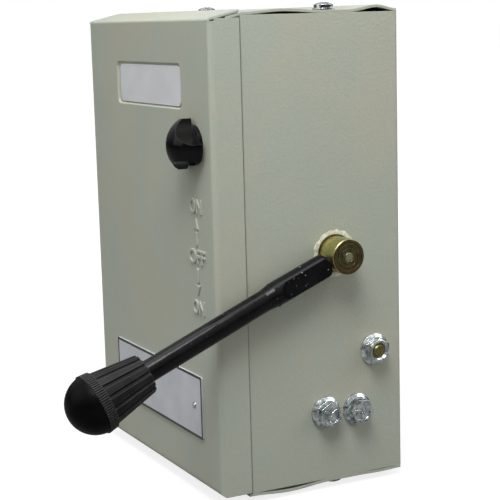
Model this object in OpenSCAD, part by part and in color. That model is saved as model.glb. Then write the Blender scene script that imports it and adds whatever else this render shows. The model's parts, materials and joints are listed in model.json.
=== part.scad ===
/* [Enclosure] */
// Height of the front cover
cover_height = 210; // [180:1:240]
// Width of the front cover across its side flanges
cover_width = 140; // [130:1:160]
// Depth of the closed box, from the wall to the front of the cover
box_depth = 95; // [90:1:110]
// Thickness of the body's sheet steel
body_sheet = 1.2; // [1:0.1:1.6]
// Height of the side panels
panel_height = 211.6; // [181.6:1:241.6]
// Radius of the vertical bends at the back of the body
body_bend_radius = 2; // [1.6:0.1:3]
// How far the body reaches in under the cover's flange
body_overlap = 7.5; // [6:0.5:9]
// Width of the inward lip along the front of each side panel
front_lip = 7.5; // [6:0.5:8]
// Distance from the screw tab's root to its free end
screw_tab_length = 17; // [14:1:20]
// Width of a screw tab
screw_tab_width = 22; // [18:1:26]

/* [Front cover] */
// Thickness of the cover's sheet steel
cover_sheet = 1; // [0.8:0.1:1.2]
// Depth of the cover's flanges
cover_flange = 14.5; // [12:0.5:16]
// Outside radius of the cover's bends
cover_bend_radius = 2.6; // [1.6:0.1:3]
// Outside radius of the cover's top bend
top_bend_radius = 1.4; // [1.3:0.1:3]
// Slope of the top flange, which is bent short of a right angle
top_flange_slope = 12.5; // [8:0.5:15]
// How far the top flange reaches back past the side flanges
top_flange_past = 1.5; // [0.5:0.1:2]
// Radius of the top flange's free corners
top_flange_corner = 3; // [1:0.5:5]
// How far the side flanges stop short of the cover's top
side_flange_short = 0.3; // [0.1:0.1:1]
// Width of the open corner between the top flange and a side flange
corner_relief = 1.3; // [0.8:0.1:2]

/* [Badge recess] */
// Width of the pressed recess for the badge
recess_width = 74.5; // [60:0.5:80]
// Height of the pressed recess
recess_height = 20.4; // [19.6:0.1:24]
// Depth of the pressed recess
recess_depth = 1; // [0.8:0.1:1.5]
// Width of the recess's sloping sides
recess_slope = 1; // [0.4:0.1:1]
// Middle of the recess to the right of the cover's middle
recess_x = 2.75; // [-5:0.25:5]
// Middle of the recess above the cover's middle
recess_z = 75.5; // [60:0.5:85]
// Width of the badge plate
badge_width = 69.8; // [56:0.1:70]
// Height of the badge plate
badge_height = 17.8; // [14:0.1:18]
// Middle of the badge plate to the right of the cover's middle
badge_x = 3.9; // [2:0.1:4]
// Corner radius of the badge plate and its recess
badge_corner = 3; // [1.2:0.1:4]
// Thickness of the badge plate
badge_thickness = 0.6; // [0.4:0.1:0.9]

/* [Rating plate] */
// Width of the rating plate
rating_width = 99; // [80:1:110]
// Height of the rating plate
rating_height = 29; // [20:1:35]
// Middle of the rating plate to the right of the cover's middle
rating_x = 3; // [-5:0.5:8]
// Middle of the rating plate above the cover's middle
rating_z = -68.1; // [-80:0.1:-50]
// Thickness of the rating plate
rating_thickness = 0.8; // [0.5:0.1:1]
// Corner radius of the rating plate
rating_corner = 0.8; // [0.5:0.1:2]
// Distance between the rating plate's two rivets
rivet_spacing = 83.4; // [60:0.2:90]
// Diameter of a rivet's domed head
rivet_head = 3.4; // [3:0.1:4]
// Height of a rivet's domed head
rivet_head_height = 1; // [0.6:0.1:1.4]
// Diameter of a rivet's shank
rivet_shank = 2.2; // [1.8:0.1:2.4]
// How far a rivet's closed end stands behind the cover
rivet_tail = 1.2; // [0.8:0.1:2]

/* [Latch] */
// Distance of the latch's axis from the cover's right edge
latch_inset = 18; // [17:0.5:24]
// Latch axis above the cover's middle
latch_z = 50.5; // [40:0.5:56]
// Diameter of the knob's domed head
knob_diameter = 23.6; // [22:0.2:25]
// Height of the knob in front of the cover
knob_height = 12.4; // [11:0.1:14]
// Radius of the knob's dome
knob_dome_radius = 13.6; // [13.2:0.1:20]
// Radius of the knob's three flutes
knob_flute_radius = 15; // [12:0.5:16]
// Distance of each flute's centre from the knob's axis
knob_flute_reach = 21.8; // [21.4:0.2:24]
// Angle of the first flute from the cover's right, seen from the front
knob_flute_angle = 46; // [0:1:119]
// Diameter of the round skirt at the knob's foot
knob_skirt = 18; // [16:0.5:20]
// Height of the round skirt
knob_skirt_height = 1.5; // [1:0.1:2]
// Diameter of the latch spindle
latch_spindle_diameter = 8; // [7:0.1:9]
// Diameter of the spindle's collar behind the cover
latch_collar = 13; // [11:0.5:14]
// Thickness of the spindle's collar
latch_collar_thickness = 1.5; // [1:0.1:2]
// Reach of the cam from the spindle's axis to the middle of its nose
cam_reach = 10.5; // [10:0.5:11]
// Radius of the cam round the spindle
cam_root = 5.6; // [5.4:0.1:6]
// Radius of the cam's nose
cam_nose = 4; // [3:0.1:4.5]
// Thickness of the cam
cam_thickness = 2; // [1.5:0.1:2.5]
// Width across the flats of the nut on the spindle
latch_nut_flats = 10; // [9:0.5:11]
// Thickness of the nut on the spindle
latch_nut_height = 4; // [3:0.5:5]
// Diameter of the spindle's threaded end
latch_thread = 6; // [5:0.5:6.5]

/* [Hinges] */
// Height of each hinge above or below the cover's middle
hinge_z = 70; // [50:1:78]
// Overall length of each hinge
hinge_length = 40; // [30:1:46]
// Radius of the hinge knuckles
knuckle_radius = 3.1; // [2.8:0.1:3.2]
// Diameter of the hinge pin
hinge_pin_diameter = 3.4; // [3:0.1:3.6]
// Hinge axis outside the cover's left flange
hinge_out = 3.2; // [3.1:0.1:3.6]
// Hinge axis behind the rear edge of the cover's flange
hinge_back = 1.3; // [1:0.1:2]
// Thickness of the hinge leaves
leaf_thickness = 1.2; // [1:0.1:1.4]
// Reach of a hinge leaf from the hinge axis
leaf_reach = 13; // [10:0.5:14]
// Radius of the hinge pin's head
hinge_pin_head = 2.8; // [2.4:0.1:3]
// Thickness of the hinge pin's head
hinge_pin_head_height = 1; // [0.8:0.1:1.5]

/* [End plates] */
// How far the top plate bows up in front of its screws
top_bow_front = 1.05; // [0:0.05:1.5]
// How far the top plate bows up behind its screws
top_bow_rear = 1.85; // [0:0.05:2.5]
// How far the bottom plate sags in front of its screws
bottom_sag_front = 1.2; // [0:0.05:1.5]
// How far the bottom plate sags behind its screws
bottom_sag_rear = 0.3; // [0:0.05:1]
// How far an end plate stops short of the wall
end_plate_rear = 1; // [0.5:0.5:2]
// How far the bottom plate reaches forward past the cover's flange
end_plate_overlap = 0.5; // [0.2:0.1:0.6]
// Height of the lip turned in along an end plate's front
end_plate_lip = 8; // [5:0.5:10]
// Distance of the end plate screws from the inside of the side panels
end_screw_inset = 7.5; // [6.5:0.5:11]
// Distance of the end plate screws from the wall
end_screw_y = 33.5; // [30:0.5:38]
// Diameter of the cable knockouts
knockout_diameter = 26; // [20:1:28]
// Distance between the cable knockouts
knockout_spacing = 35; // [30:1:36]
// Width of the line round a knockout
knockout_line = 0.5; // [0.3:0.1:0.8]
// Depth of the line round a knockout
knockout_cut = 0.7; // [0.4:0.1:0.9]

/* [Wall fixing] */
// Distance between the wall screw holes across the box
wall_hole_x = 100; // [90:1:110]
// Distance between the wall screw holes up the box
wall_hole_z = 180; // [160:1:184]
// Diameter of the wall screw holes
wall_hole_diameter = 6.5; // [5:0.1:7]

/* [Shaft and hub] */
// Distance of the shaft's axis from the wall
shaft_y = 35; // [34:0.5:38]
// Height of the shaft's axis above the box's middle
shaft_z = -1; // [-3:0.5:3]
// Diameter of the hub outside the panel
hub_diameter = 16; // [14:0.5:18]
// How far the hub stands out of the side panel
hub_proud = 12.5; // [11:0.5:14]
// Diameter of the shaft inside the box
shaft_diameter = 10; // [8:0.5:11]
// Length of the hub inside the side panel
hub_inside = 10; // [9.5:0.5:11.5]
// Depth of the turned rings on the hub's end face
hub_ring_depth = 0.25; // [0.1:0.05:0.4]
// Width of the turned rings on the hub's end face
hub_ring_width = 0.6; // [0.3:0.1:0.8]
// Bevel round the hub's end face
hub_bevel = 0.5; // [0.2:0.1:1]
// Outside diameter of the right bearing's sleeve
right_sleeve = 24; // [22:0.5:26]
// Outside diameter of the left bearing's sleeve
left_sleeve = 18; // [16:0.5:20]
// Diameter of the bearings' flanges
bearing_flange = 36; // [32:1:40]
// Thickness of the bearings' flanges
bearing_flange_thickness = 2; // [1.5:0.5:3]
// Length of the left bearing with its flange
left_bearing_length = 12; // [10:0.5:14]
// Diameter of the shaft collar
collar_diameter = 20; // [18:0.5:22]
// Thickness of the shaft collar
collar_thickness = 6; // [5:0.5:7]
// Outside diameter of the friction washer
friction_washer = 22; // [20:0.5:23]
// Height of the friction washer's cone
friction_washer_height = 1.1; // [0.8:0.1:1.3]
// Thickness of the friction washer
friction_washer_thickness = 0.7; // [0.5:0.1:0.8]

/* [Handle rod] */
// Angle of the handle below level when it is down
handle_dip = 22; // [15:0.5:25]
// Angle that the handle swings through, from down to up
handle_swing = 43; // [40:1:46]
// Rod's axis outside the side panel, at the hub
rod_out = 6.5; // [6:0.1:7]
// Diameter of the rod
rod_diameter = 9.7; // [9:0.1:10]
// Diameter of the rod's thicker part beside the hub
rod_root = 11.2; // [10.4:0.1:11.6]
// Distance of the thicker part's far end from the hub's axis
rod_root_end = 38; // [36:0.5:45]
// Length of the taper from the thicker part to the rod
rod_taper = 4.6; // [3:0.1:8]
// Thickness of the thicker part across its two flats
rod_flat_thickness = 7.7; // [7:0.1:8]
// Distance of the flats' far end from the hub's axis
rod_flat_end = 32.5; // [28:0.5:33]
// Slope of the shoulders at the end of the flats
rod_shoulder_slope = 27; // [24:1:45]
// Distance of the rod's near end from the hub's axis
rod_start = 8.4; // [8.1:0.1:9]
// Rounding of the rod's near end
rod_end_round = 2.6; // [1:0.1:3]
// Diameter of the spigot that goes into the hub
rod_spigot = 6; // [5:0.1:7]
// Depth of the spigot's hole past the hub's axis
rod_spigot_past = 3; // [2:0.5:4]
// Outward tilt of the rod past its thicker part
rod_tilt = 2.5; // [1.5:0.1:4]
// Distance of the rod's far end from the hub's axis
rod_end = 123; // [110:1:124]

/* [Grip] */
// Distance of the grip's small end from the hub's axis
grip_start = 106.3; // [90:0.1:110]
// Length of the grip's fluted cone
grip_cone_length = 21.4; // [18:0.1:24]
// Diameter of the grip's small end
grip_small = 17.6; // [16:0.2:20]
// Diameter of the cone's large end
grip_large = 24.2; // [22:0.2:24.6]
// Number of flutes round the cone
grip_flutes = 15; // [12:1:24]
// Radius of a flute
grip_flute_radius = 0.9; // [0.6:0.05:1.2]
// Diameter of the toothed collar beside the cone
grip_collar_foot = 25.9; // [24.8:0.1:26.2]
// Diameter of the toothed collar beside the dome
grip_collar = 26.8; // [26.4:0.1:28]
// Width of the toothed collar
grip_collar_width = 4.2; // [3:0.1:5]
// Number of teeth round the collar
grip_teeth = 80; // [60:1:90]
// Depth of the teeth
grip_tooth_depth = 0.6; // [0.4:0.1:0.8]
// Radius of the dome
dome_radius = 12.95; // [12.6:0.05:13.2]
// Height of the dome
dome_height = 11.65; // [11:0.05:12.6]
// Depth of the rod's hole in the dome
dome_socket = 0.6; // [0:0.1:2]

/* [Stop plate and lever] */
// Distance of the stop bolt from the wall
stop_bolt_y = 15.2; // [13:0.1:17]
// Height of the stop bolt above the box's middle
stop_bolt_z = -47.6; // [-50:0.1:-44]
// Thickness of the stop plate
stop_plate_thickness = 1.6; // [1.2:0.1:2.5]
// Gap between the stop plate and the side panel
stop_plate_gap = 5.9; // [5:0.1:7]
// Radius of the stop plate round the shaft
stop_plate_root = 22; // [20:0.5:24]
// Radius of the stop plate round its bolt
stop_plate_end = 10; // [8:0.5:11]
// Thickness of the lever on the shaft
lever_thickness = 4; // [3:0.5:5]
// Distance of the lever's pin from the shaft's axis
lever_reach = 22; // [20:0.5:24]
// Radius of the lever round the shaft
lever_root = 9; // [8:0.5:10]
// Radius of the lever round its pin
lever_nose = 5; // [4:0.5:6]
// Diameter of the lever's pin
lever_pin = 5; // [4:0.5:6]
// How far the lever's pin stands past the stop plate
lever_pin_past = 1.4; // [0.5:0.1:2]

/* [Insulating base] */
// Distance of the insulating base from the inside of the side panels
base_side_gap = 17.5; // [16.5:0.5:19.5]
// Reach of the insulating base past the supply terminals
base_past_terminals = 5; // [4:0.5:8]
// Thickness of the insulating base
base_thickness = 10; // [8:0.5:12]
// Corner radius of the insulating base
base_corner = 4; // [2:0.5:6]
// Height of the rails that carry the base
rail_height = 4; // [3.5:0.5:5]
// Width of a rail's raised top
rail_top = 12; // [10:0.5:14]
// Width of a rail's welded feet
rail_foot = 6; // [4:0.5:8]
// Distance of each rail's middle from the base's end
rail_inset = 8; // [7:0.5:12]
// Distance of the base screws from the base's sides
base_screw_inset = 6; // [5:0.5:8]
// Thickness of the ribs beside the terminals
rib_thickness = 2; // [1.5:0.5:3]
// How far the ribs stand out of the base
rib_height = 9; // [6:0.5:12]
// Distance of the ribs from the base's sides
rib_inset = 13.5; // [12:0.5:16]
// Length of the ribs
rib_length = 18; // [14:1:22]
// Thickness of the arc barrier
barrier_thickness = 3; // [2:0.5:4]
// How far the arc barrier stands out of the base
barrier_reach = 36; // [30:1:40]
// Height of the arc barrier
barrier_height = 132; // [120:1:140]
// Depth of the arc barrier's foot in the base
barrier_foot = 2; // [1:0.5:3]
// Radius of the notch in the arc barrier round the rotor
barrier_notch = 12.5; // [11.5:0.5:14]

/* [Rotor and blades] */
// Distance of each pole from the base's side
pole_inset = 26; // [24:0.5:28]
// Width of the rotor's square bar
rotor_bar_width = 14; // [13:0.5:15]
// Distance of the rotor's ends from the base's sides
rotor_inset = 6; // [4:0.5:8]
// Diameter of the rotor's round spacers
spacer_diameter = 20.6; // [20:0.2:21]
// Thickness of the moving blades
blade_thickness = 2; // [1.5:0.1:2.5]
// Radius of a blade's middle ring
blade_ring = 16; // [15:0.5:16.5]
// Width of a blade's arms
blade_width = 10; // [8:0.5:12]
// Distance of a blade's tips from the shaft's axis
blade_reach = 46; // [44:0.5:48]
// Lean of a closed blade towards the wall
blade_lean = 12; // [10:0.5:14]

/* [Fixed contacts] */
// Thickness of the contacts' copper
jaw_metal = 1.2; // [1:0.1:1.5]
// Width of the contacts' feet
foot_width = 12; // [10:0.5:13]
// Thickness of the contacts' feet
foot_thickness = 1.6; // [1.2:0.1:2]
// Front edge of the supply contacts, from the wall
jaw_front = 32; // [30:0.5:33]
// Inner end of the supply contacts, from the shaft's height
jaw_inner = 32; // [30:0.5:34]
// Outer end of the supply contacts, from the shaft's height
jaw_outer = 45; // [43:0.5:46]
// Front edge of the middle contacts, from the wall
middle_jaw_front = 24.2; // [23.5:0.1:24.4]
// Height of the middle contacts
middle_jaw_height = 12; // [10:0.5:14]
// Distance of the load terminals from the base's sides
load_terminal_inset = 8; // [7:0.5:9]
// Height of the load terminals above the shaft's height
load_terminal_z = -25; // [-28:0.5:-22]
// Distance of the supply terminals from the shaft's height
supply_terminal_z = 63; // [60:0.5:65]
// Distance of the supply contacts' fixing screws from the shaft's height
supply_screw_z = 51; // [50:0.5:52]
// Distance of the load contacts' fixing screws from the base's sides
load_screw_inset = 15; // [12:0.5:16]

/* [Terminals] */
// Width of a terminal block
terminal_width = 12; // [10:0.5:12]
// Height of a terminal block
terminal_height = 12; // [10:0.5:13]
// Depth of a terminal block
terminal_depth = 12; // [10:0.5:13]
// Diameter of the wire hole in a terminal block
wire_hole = 6; // [4:0.5:7]
// Distance of the wire hole's axis from the block's foot
wire_hole_rise = 5; // [4:0.5:6]
// Diameter of a terminal screw
terminal_screw = 5; // [4:0.5:6]
// Diameter of a terminal screw's head
terminal_screw_head = 8; // [7:0.5:9]
// Height of a terminal screw's head
terminal_screw_height = 3; // [2:0.5:4]
// Width of the slots in the screws' heads
slot_width = 1.2; // [0.8:0.1:1.6]
// Depth of the slots in the screws' heads
slot_depth = 1.2; // [0.8:0.1:1.6]

/* [Fasteners] */
// Diameter of the M6 bolts through the side panel
bolt_diameter = 6; // [5:0.5:6]
// Diameter of the M6 bolts' and nut's flanges
bolt_flange = 14.4; // [13:0.1:15]
// Width across the flats of the M6 heads
bolt_flats = 10; // [9:0.5:11]
// Height of the M6 heads with their flanges
bolt_head_height = 6; // [5:0.1:7]
// Edge thickness of the M6 flanges
bolt_flange_edge = 1.1; // [0.8:0.1:1.5]
// Diameter of the hollow in the earth bolts' heads
bolt_hollow = 8.4; // [7:0.1:8.6]
// Depth of the hollow in the earth bolts' heads
bolt_hollow_depth = 0.7; // [0.3:0.1:1.2]
// Width of the three raised lines in the hollow
bolt_line_width = 0.8; // [0.4:0.1:1.2]
// Angle that the rear earth bolt's head is turned past the front one's
bolt_turn = 25; // [0:1:59]
// Diameter of the countersink in the nut on the stop bolt
nut_countersink = 8.2; // [7:0.1:8.6]
// How far the stop bolt's end lies inside its nut
stop_bolt_short = 0.3; // [0:0.1:1]
// Distance of the front earth bolt from the wall
earth_front_y = 41.5; // [38:0.1:44]
// Height of the front earth bolt above the box's middle
earth_front_z = -73.8; // [-78:0.1:-70]
// Distance of the rear earth bolt from the wall
earth_rear_y = 24.9; // [22:0.1:27]
// Height of the rear earth bolt above the box's middle
earth_rear_z = -74.6; // [-78:0.1:-70]
// Length of the earth bolts' shanks
earth_bolt_length = 14; // [12:0.5:15]
// Thickness of the earth bar
earth_bar_thickness = 2; // [1.5:0.5:3]
// Width of the earth bar
earth_bar_width = 13; // [12:0.5:14]
// Thickness of the nuts inside the box
inner_nut_height = 5; // [4:0.5:6]
// Diameter of the end plate screws
end_screw_diameter = 5; // [4:0.5:5]
// Diameter of the end plate screws' flanges
end_screw_flange = 10.2; // [9:0.2:12]
// Height of the end plate screws' heads
end_screw_head = 3.5; // [2.5:0.1:4]
// Edge thickness of the end plate screws' flanges
end_screw_edge = 0.8; // [0.5:0.1:1]
// Length of the end plate screws' shanks
end_screw_length = 9; // [6:0.5:12]
// Diameter of the small screws on the insulating base
base_screw_diameter = 4; // [3:0.5:4]
// Diameter of the small screws' heads
base_screw_head = 7; // [6:0.5:8]
// Height of the small screws' heads
base_screw_height = 2.6; // [2:0.1:3]
// Length of a contact's fixing screw in the base
contact_screw_length = 8; // [6:0.5:9]

/* [Clearances] */
// Gap between the cover's flange and the side panel
cover_gap = 0.3; // [0.25:0.05:0.4]
// Radial play of a shaft or pin that turns
running_gap = 0.05; // [0.02:0.01:0.1]
// Radial play of a screw in its thread or hole
thread_gap = 0.05; // [0.02:0.01:0.1]
// Radial play of a screw in a drilled hole
hole_gap = 0.2; // [0.1:0.05:0.3]
// Side play between a blade and its contact
blade_gap = 0.1; // [0.05:0.01:0.2]
// Play between hinge knuckles, and round other moving faces
face_gap = 0.3; // [0.2:0.05:0.4]
// Gap between the hub and the hole in the side panel
hub_gap = 0.6; // [0.4:0.1:1]
// Extra length of a cutting shape past the surface that it cuts
cut_over = 2; // [1:0.5:3]

/* [Hidden] */
$fn = 64;

cover_top = cover_height / 2;
cover_rear = -box_depth + cover_flange;
panel_x = cover_width / 2 - cover_sheet - cover_gap;
panel_in = panel_x - body_sheet;
panel_top = panel_height / 2;
body_front = cover_rear - body_overlap;
plate_out = panel_top + body_sheet;
plate_flat = end_screw_flange / 2 + face_gap;
end_screw_x = panel_in - end_screw_inset;
latch_x = cover_width / 2 - latch_inset;

// Top flange: its slope, the centre and outer end of its bend, and its upright thickness
flange_rise = tan(top_flange_slope);
flange_mid = [-box_depth + top_bend_radius, cover_top - top_bend_radius];
flange_foot = flange_mid + top_bend_radius * [-sin(top_flange_slope), cos(top_flange_slope)];
flange_upright = cover_sheet / cos(top_flange_slope);

// Underside of the top flange at y, and the place where the top plate starts to slope under it
function flange_under(y) = flange_foot[1] + flange_rise * (y - flange_foot[0]) - flange_upright;
top_knee = flange_foot[0] + (plate_out + face_gap + flange_upright - flange_foot[1]) / flange_rise;
top_nose = body_front + body_sheet + face_gap;
bottom_front = cover_rear - end_plate_overlap;

// Shares of other sizes
bow_skew_share = 1.4;
link_side_share = 0.98;
slot_side_share = 0.998;
pan_dome_share = 0.42;
cross_depth_share = 0.45;
rivet_tail_share = 0.9;
stop_spacer_share = 1.7;
head_bevel_share = 1.5;
head_top_share = 0.56;
nut_top_share = 0.49;
bolt_end_share = 0.1;
hub_ring_share = [0.25, 0.5, 0.75];

hub_end = panel_x + hub_proud;
hub_inner_x = panel_in - hub_inside;
rod_x = panel_x + rod_out;
hinge_axis_x = -cover_width / 2 - hinge_out;
hinge_axis_y = cover_rear + hinge_back;
knuckle = (hinge_length - 2 * face_gap) / 3;
base_width = 2 * (panel_in - base_side_gap);
base_height = 2 * (supply_terminal_z + terminal_height / 2 + base_past_terminals);
rail_z = base_height / 2 - rail_inset;
base_screw_x = base_width / 2 - base_screw_inset;
rib_x = base_width / 2 - rib_inset;
pole_x = base_width / 2 - pole_inset;
rotor_length = base_width - 2 * rotor_inset;
load_terminal_x = base_width / 2 - load_terminal_inset;
load_screw_x = base_width / 2 - load_screw_inset;
lever_x = hub_inner_x - friction_washer_height - face_gap / 3 - lever_thickness;
stop_x = panel_in - stop_plate_gap - stop_plate_thickness;
base_back = -body_sheet - rail_height;
base_front = base_back - base_thickness;
foot_front = base_front - foot_thickness;
stop_angle = atan2(stop_bolt_z - shaft_z, shaft_y - stop_bolt_y);
stop_distance = norm([shaft_y - stop_bolt_y, stop_bolt_z - shaft_z]);
off_angle = handle_swing / 2;
cam_front = body_front + body_sheet + face_gap;

// Places of the six terminals
terminal_spots = concat(
    [for (s = [-1, 1], t = [-1, 1]) [s * pole_x, shaft_z + t * supply_terminal_z]],
    [for (s = [-1, 1]) [s * load_terminal_x, shaft_z + load_terminal_z]]);

// Rounded rectangle, centred
module round_rect(w, h, r) {
    square([w - 2 * r, h], center = true);
    square([w, h - 2 * r], center = true);
    for (sx = [-1, 1], sy = [-1, 1])
        translate([sx * (w / 2 - r), sy * (h / 2 - r)]) circle(r);
}

// Bar with two round ends of different radius, from the origin along +X.
// Its straight sides lie just inside the tangents, at link_side_share of the radii.
module link(r1, r2, d) {
    a = acos((r1 - r2) / d);
    s1 = link_side_share * r1;
    s2 = link_side_share * r2;
    circle(r1);
    translate([d, 0]) circle(r2);
    polygon([[s1 * cos(a), s1 * sin(a)], [s1 * cos(a), -s1 * sin(a)],
        [d + s2 * cos(a), -s2 * sin(a)], [d + s2 * cos(a), s2 * sin(a)]]);
}

// Outline drawn in Y and Z, thickened along +X from x
module side_slab(x, t) {
    translate([x, 0, 0]) rotate([90, 0, 90]) linear_extrude(t) children();
}

// Outline drawn in X and Z, thickened towards the front from y
module front_slab(y, t) {
    translate([0, y, 0]) rotate([90, 0, 0]) linear_extrude(t) children();
}

// Turns a shape that stands on +Z so that it points to the front
module to_front(p) { translate(p) rotate([90, 0, 0]) children(); }

// Turns a shape that stands on +Z so that it points to the right
module to_right(p) { translate(p) rotate([0, 90, 0]) children(); }

// Moves a shape drawn round the origin, in Y and Z, to the shaft
module at_shaft() { translate([0, -shaft_y, shaft_z]) children(); }

// Pan head with a thin flange and a cross recess, standing on z = 0, shank below
module pan_screw(d, l, flange, edge, h) {
    dome = pan_dome_share * flange;
    difference() {
        union() {
            cylinder(h = edge, d = flange);
            rotate_extrude() intersection() {
                translate([0, h - 2 * dome]) circle(2 * dome);
                square([dome, h]);
            }
            translate([0, 0, -l]) cylinder(h = l + edge / 2, d = d);
        }
        for (a = [0, 90]) rotate([0, 0, a])
            translate([-dome / 2, -dome / 10, h - cross_depth_share * h]) cube([dome, dome / 5, h]);
    }
}

// Cheese head with one slot, standing on z = 0, shank below
module slot_screw(d, l, head, h) {
    difference() {
        union() {
            cylinder(h = h, d = head);
            translate([0, 0, -l]) cylinder(h = l + h / 2, d = d);
        }
        translate([-head, -slot_width / 2, h - slot_depth]) cube([2 * head, slot_width, h]);
    }
}

// Hexagon with a sloping round flange and bevelled corners, standing on z = 0.
// The flat end inside the bevel has a radius of share times the width across the flats.
module flanged_hex(flats, flange, edge, h, share) {
    corner = flats / cos(30);
    cylinder(h = edge, d = flange);
    translate([0, 0, edge]) cylinder(h = edge, d1 = flange, d2 = corner);
    intersection() {
        cylinder(h = h, d = corner, $fn = 6);
        cylinder(h = h, r1 = share * flats + head_bevel_share * h, r2 = share * flats);
    }
}

// Hollow with sloping sides and round corners, from its mouth at z = 0 down to z = -deep
module sloped_hollow(w, h, r, deep, slope) {
    translate([0, h / 2 - r, 0]) rotate([90, 0, 0]) linear_extrude(h - 2 * r)
        polygon([[-w / 2 + slope, -deep], [w / 2 - slope, -deep], [w / 2, 0], [w / 2, cut_over],
            [-w / 2, cut_over], [-w / 2, 0]]);
    translate([-w / 2 + r, 0, 0]) rotate([90, 0, 90]) linear_extrude(w - 2 * r)
        polygon([[-h / 2 + slope, -deep], [h / 2 - slope, -deep], [h / 2, 0], [h / 2, cut_over],
            [-h / 2, cut_over], [-h / 2, 0]]);
    for (sx = [-1, 1], sy = [-1, 1]) translate([sx * (w / 2 - r), sy * (h / 2 - r), 0]) {
        translate([0, 0, -deep]) cylinder(h = deep, r1 = r - slope, r2 = r);
        cylinder(h = cut_over, r = r);
    }
}

// Cover profile in X and Y, with rounded front corners
module cover_plan(w, front, rear, r) {
    translate([-w / 2, front + r]) square([w, rear - front - r]);
    translate([-w / 2 + r, front]) square([w - 2 * r, rear - front]);
    for (s = [-1, 1]) translate([s * (w / 2 - r), front + r]) circle(r);
}

// Cover profile in Y and Z up to the top bend, with a rounded lower front corner
module cover_side(low, high, front, rear, r) {
    translate([front + r, low]) square([rear - front - r, high - low]);
    translate([front, low + r]) square([rear - front, high - low - r]);
    translate([front + r, low + r]) circle(r);
}

// Front sheet with both side flanges and the bottom flange
module cover_tray(inset, rear) {
    intersection() {
        translate([0, 0, -cover_top]) linear_extrude(2 * cover_top)
            cover_plan(cover_width - 2 * inset, -box_depth + inset, rear, cover_bend_radius - inset);
        side_slab(-cover_width, 2 * cover_width)
            cover_side(-cover_top + inset, cover_top - top_bend_radius, -box_depth + inset, rear,
                cover_bend_radius - inset);
    }
}

// Top flange with its bend
module cover_top_flange() {
    long = cover_width - 2 * corner_relief;
    rear = cover_rear + top_flange_past;
    a = 90 + top_flange_slope;
    inner = flange_mid + (top_bend_radius - cover_sheet) * [cos(a), sin(a)];
    run = (rear - flange_foot[0]) / cos(top_flange_slope);
    step = run * [cos(top_flange_slope), sin(top_flange_slope)];
    intersection() {
        union() {
            translate([-long / 2, flange_mid[0], flange_mid[1]]) rotate([90, 0, 90]) rotate([0, 0, a])
                rotate_extrude(angle = 180 - a)
                    translate([top_bend_radius - cover_sheet, 0]) square([cover_sheet, long]);
            side_slab(-long / 2, long) polygon([flange_foot, flange_foot + step, inner + step, inner]);
        }
        translate([0, rear - box_depth, cover_top - box_depth / 2]) linear_extrude(box_depth)
            translate([0, box_depth / 2]) round_rect(long, box_depth, top_flange_corner);
    }
}

module front_cover() {
    color("#b6b9ac") difference() {
        union() {
            difference() {
                cover_tray(0, cover_rear);
                cover_tray(cover_sheet, cover_rear + cut_over);
            }
            for (s = [-1, 1])
                translate([s * (cover_width - cover_sheet) / 2, 0, cover_top - top_bend_radius])
                    translate([-cover_sheet / 2, -box_depth + cover_bend_radius + face_gap, 0])
                        cube([cover_sheet, cover_flange - cover_bend_radius - face_gap,
                            top_bend_radius - side_flange_short]);
            cover_top_flange();
            front_slab(-box_depth + cover_sheet + recess_depth, recess_depth + cover_sheet / 2)
                translate([recess_x, recess_z])
                    round_rect(recess_width + 2 * cover_sheet, recess_height + 2 * cover_sheet,
                        badge_corner + cover_sheet);
        }
        to_front([recess_x, -box_depth, recess_z])
            sloped_hollow(recess_width, recess_height, badge_corner, recess_depth, recess_slope);
        to_front([latch_x, -box_depth + cut_over, latch_z])
            cylinder(h = 2 * cut_over, r = latch_spindle_diameter / 2 + running_gap);
        for (s = [-1, 1]) to_front([rating_x + s * rivet_spacing / 2, -box_depth + cut_over, rating_z])
            cylinder(h = 2 * cut_over, r = rivet_shank / 2 + thread_gap);
    }
}

module badge_plate() {
    color("#e6e6ea") front_slab(-box_depth + recess_depth, badge_thickness)
        translate([badge_x, recess_z]) round_rect(badge_width, badge_height, badge_corner);
}

module rating_plate() {
    color("#9aa3ad") difference() {
        front_slab(-box_depth, rating_thickness) translate([rating_x, rating_z])
            round_rect(rating_width, rating_height, rating_corner);
        for (s = [-1, 1]) to_front([rating_x + s * rivet_spacing / 2, -box_depth + cut_over, rating_z])
            cylinder(h = 2 * cut_over, r = rivet_shank / 2 + thread_gap);
    }
}

module rating_rivets() {
    head_r = (pow(rivet_head / 2, 2) + pow(rivet_head_height, 2)) / (2 * rivet_head_height);
    color("#d5d6d4") for (s = [-1, 1])
        to_front([rating_x + s * rivet_spacing / 2, -box_depth - rating_thickness, rating_z]) {
            rotate_extrude() intersection() {
                translate([0, rivet_head_height - head_r]) circle(head_r);
                square([rivet_head / 2, rivet_head_height]);
            }
            translate([0, 0, -rating_thickness - cover_sheet]) cylinder(
                h = rating_thickness + cover_sheet + rivet_head_height / 2, d = rivet_shank);
            translate([0, 0, -rating_thickness - cover_sheet - rivet_tail])
                cylinder(h = rivet_tail, d = rivet_tail_share * rivet_head);
        }
}

// Body profile in X and Y: two side panels and the back wall, with rounded rear bends
module body_plan(inset) {
    r = body_bend_radius - inset;
    w = 2 * (panel_x - inset);
    front = body_front - (inset > 0 ? cut_over : 0);
    translate([-w / 2, front]) square([w, -front - inset - r]);
    translate([-w / 2 + r, front]) square([w - 2 * r, -front - inset]);
    for (s = [-1, 1]) translate([s * (w / 2 - r), -inset - r]) circle(r);
}

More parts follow.
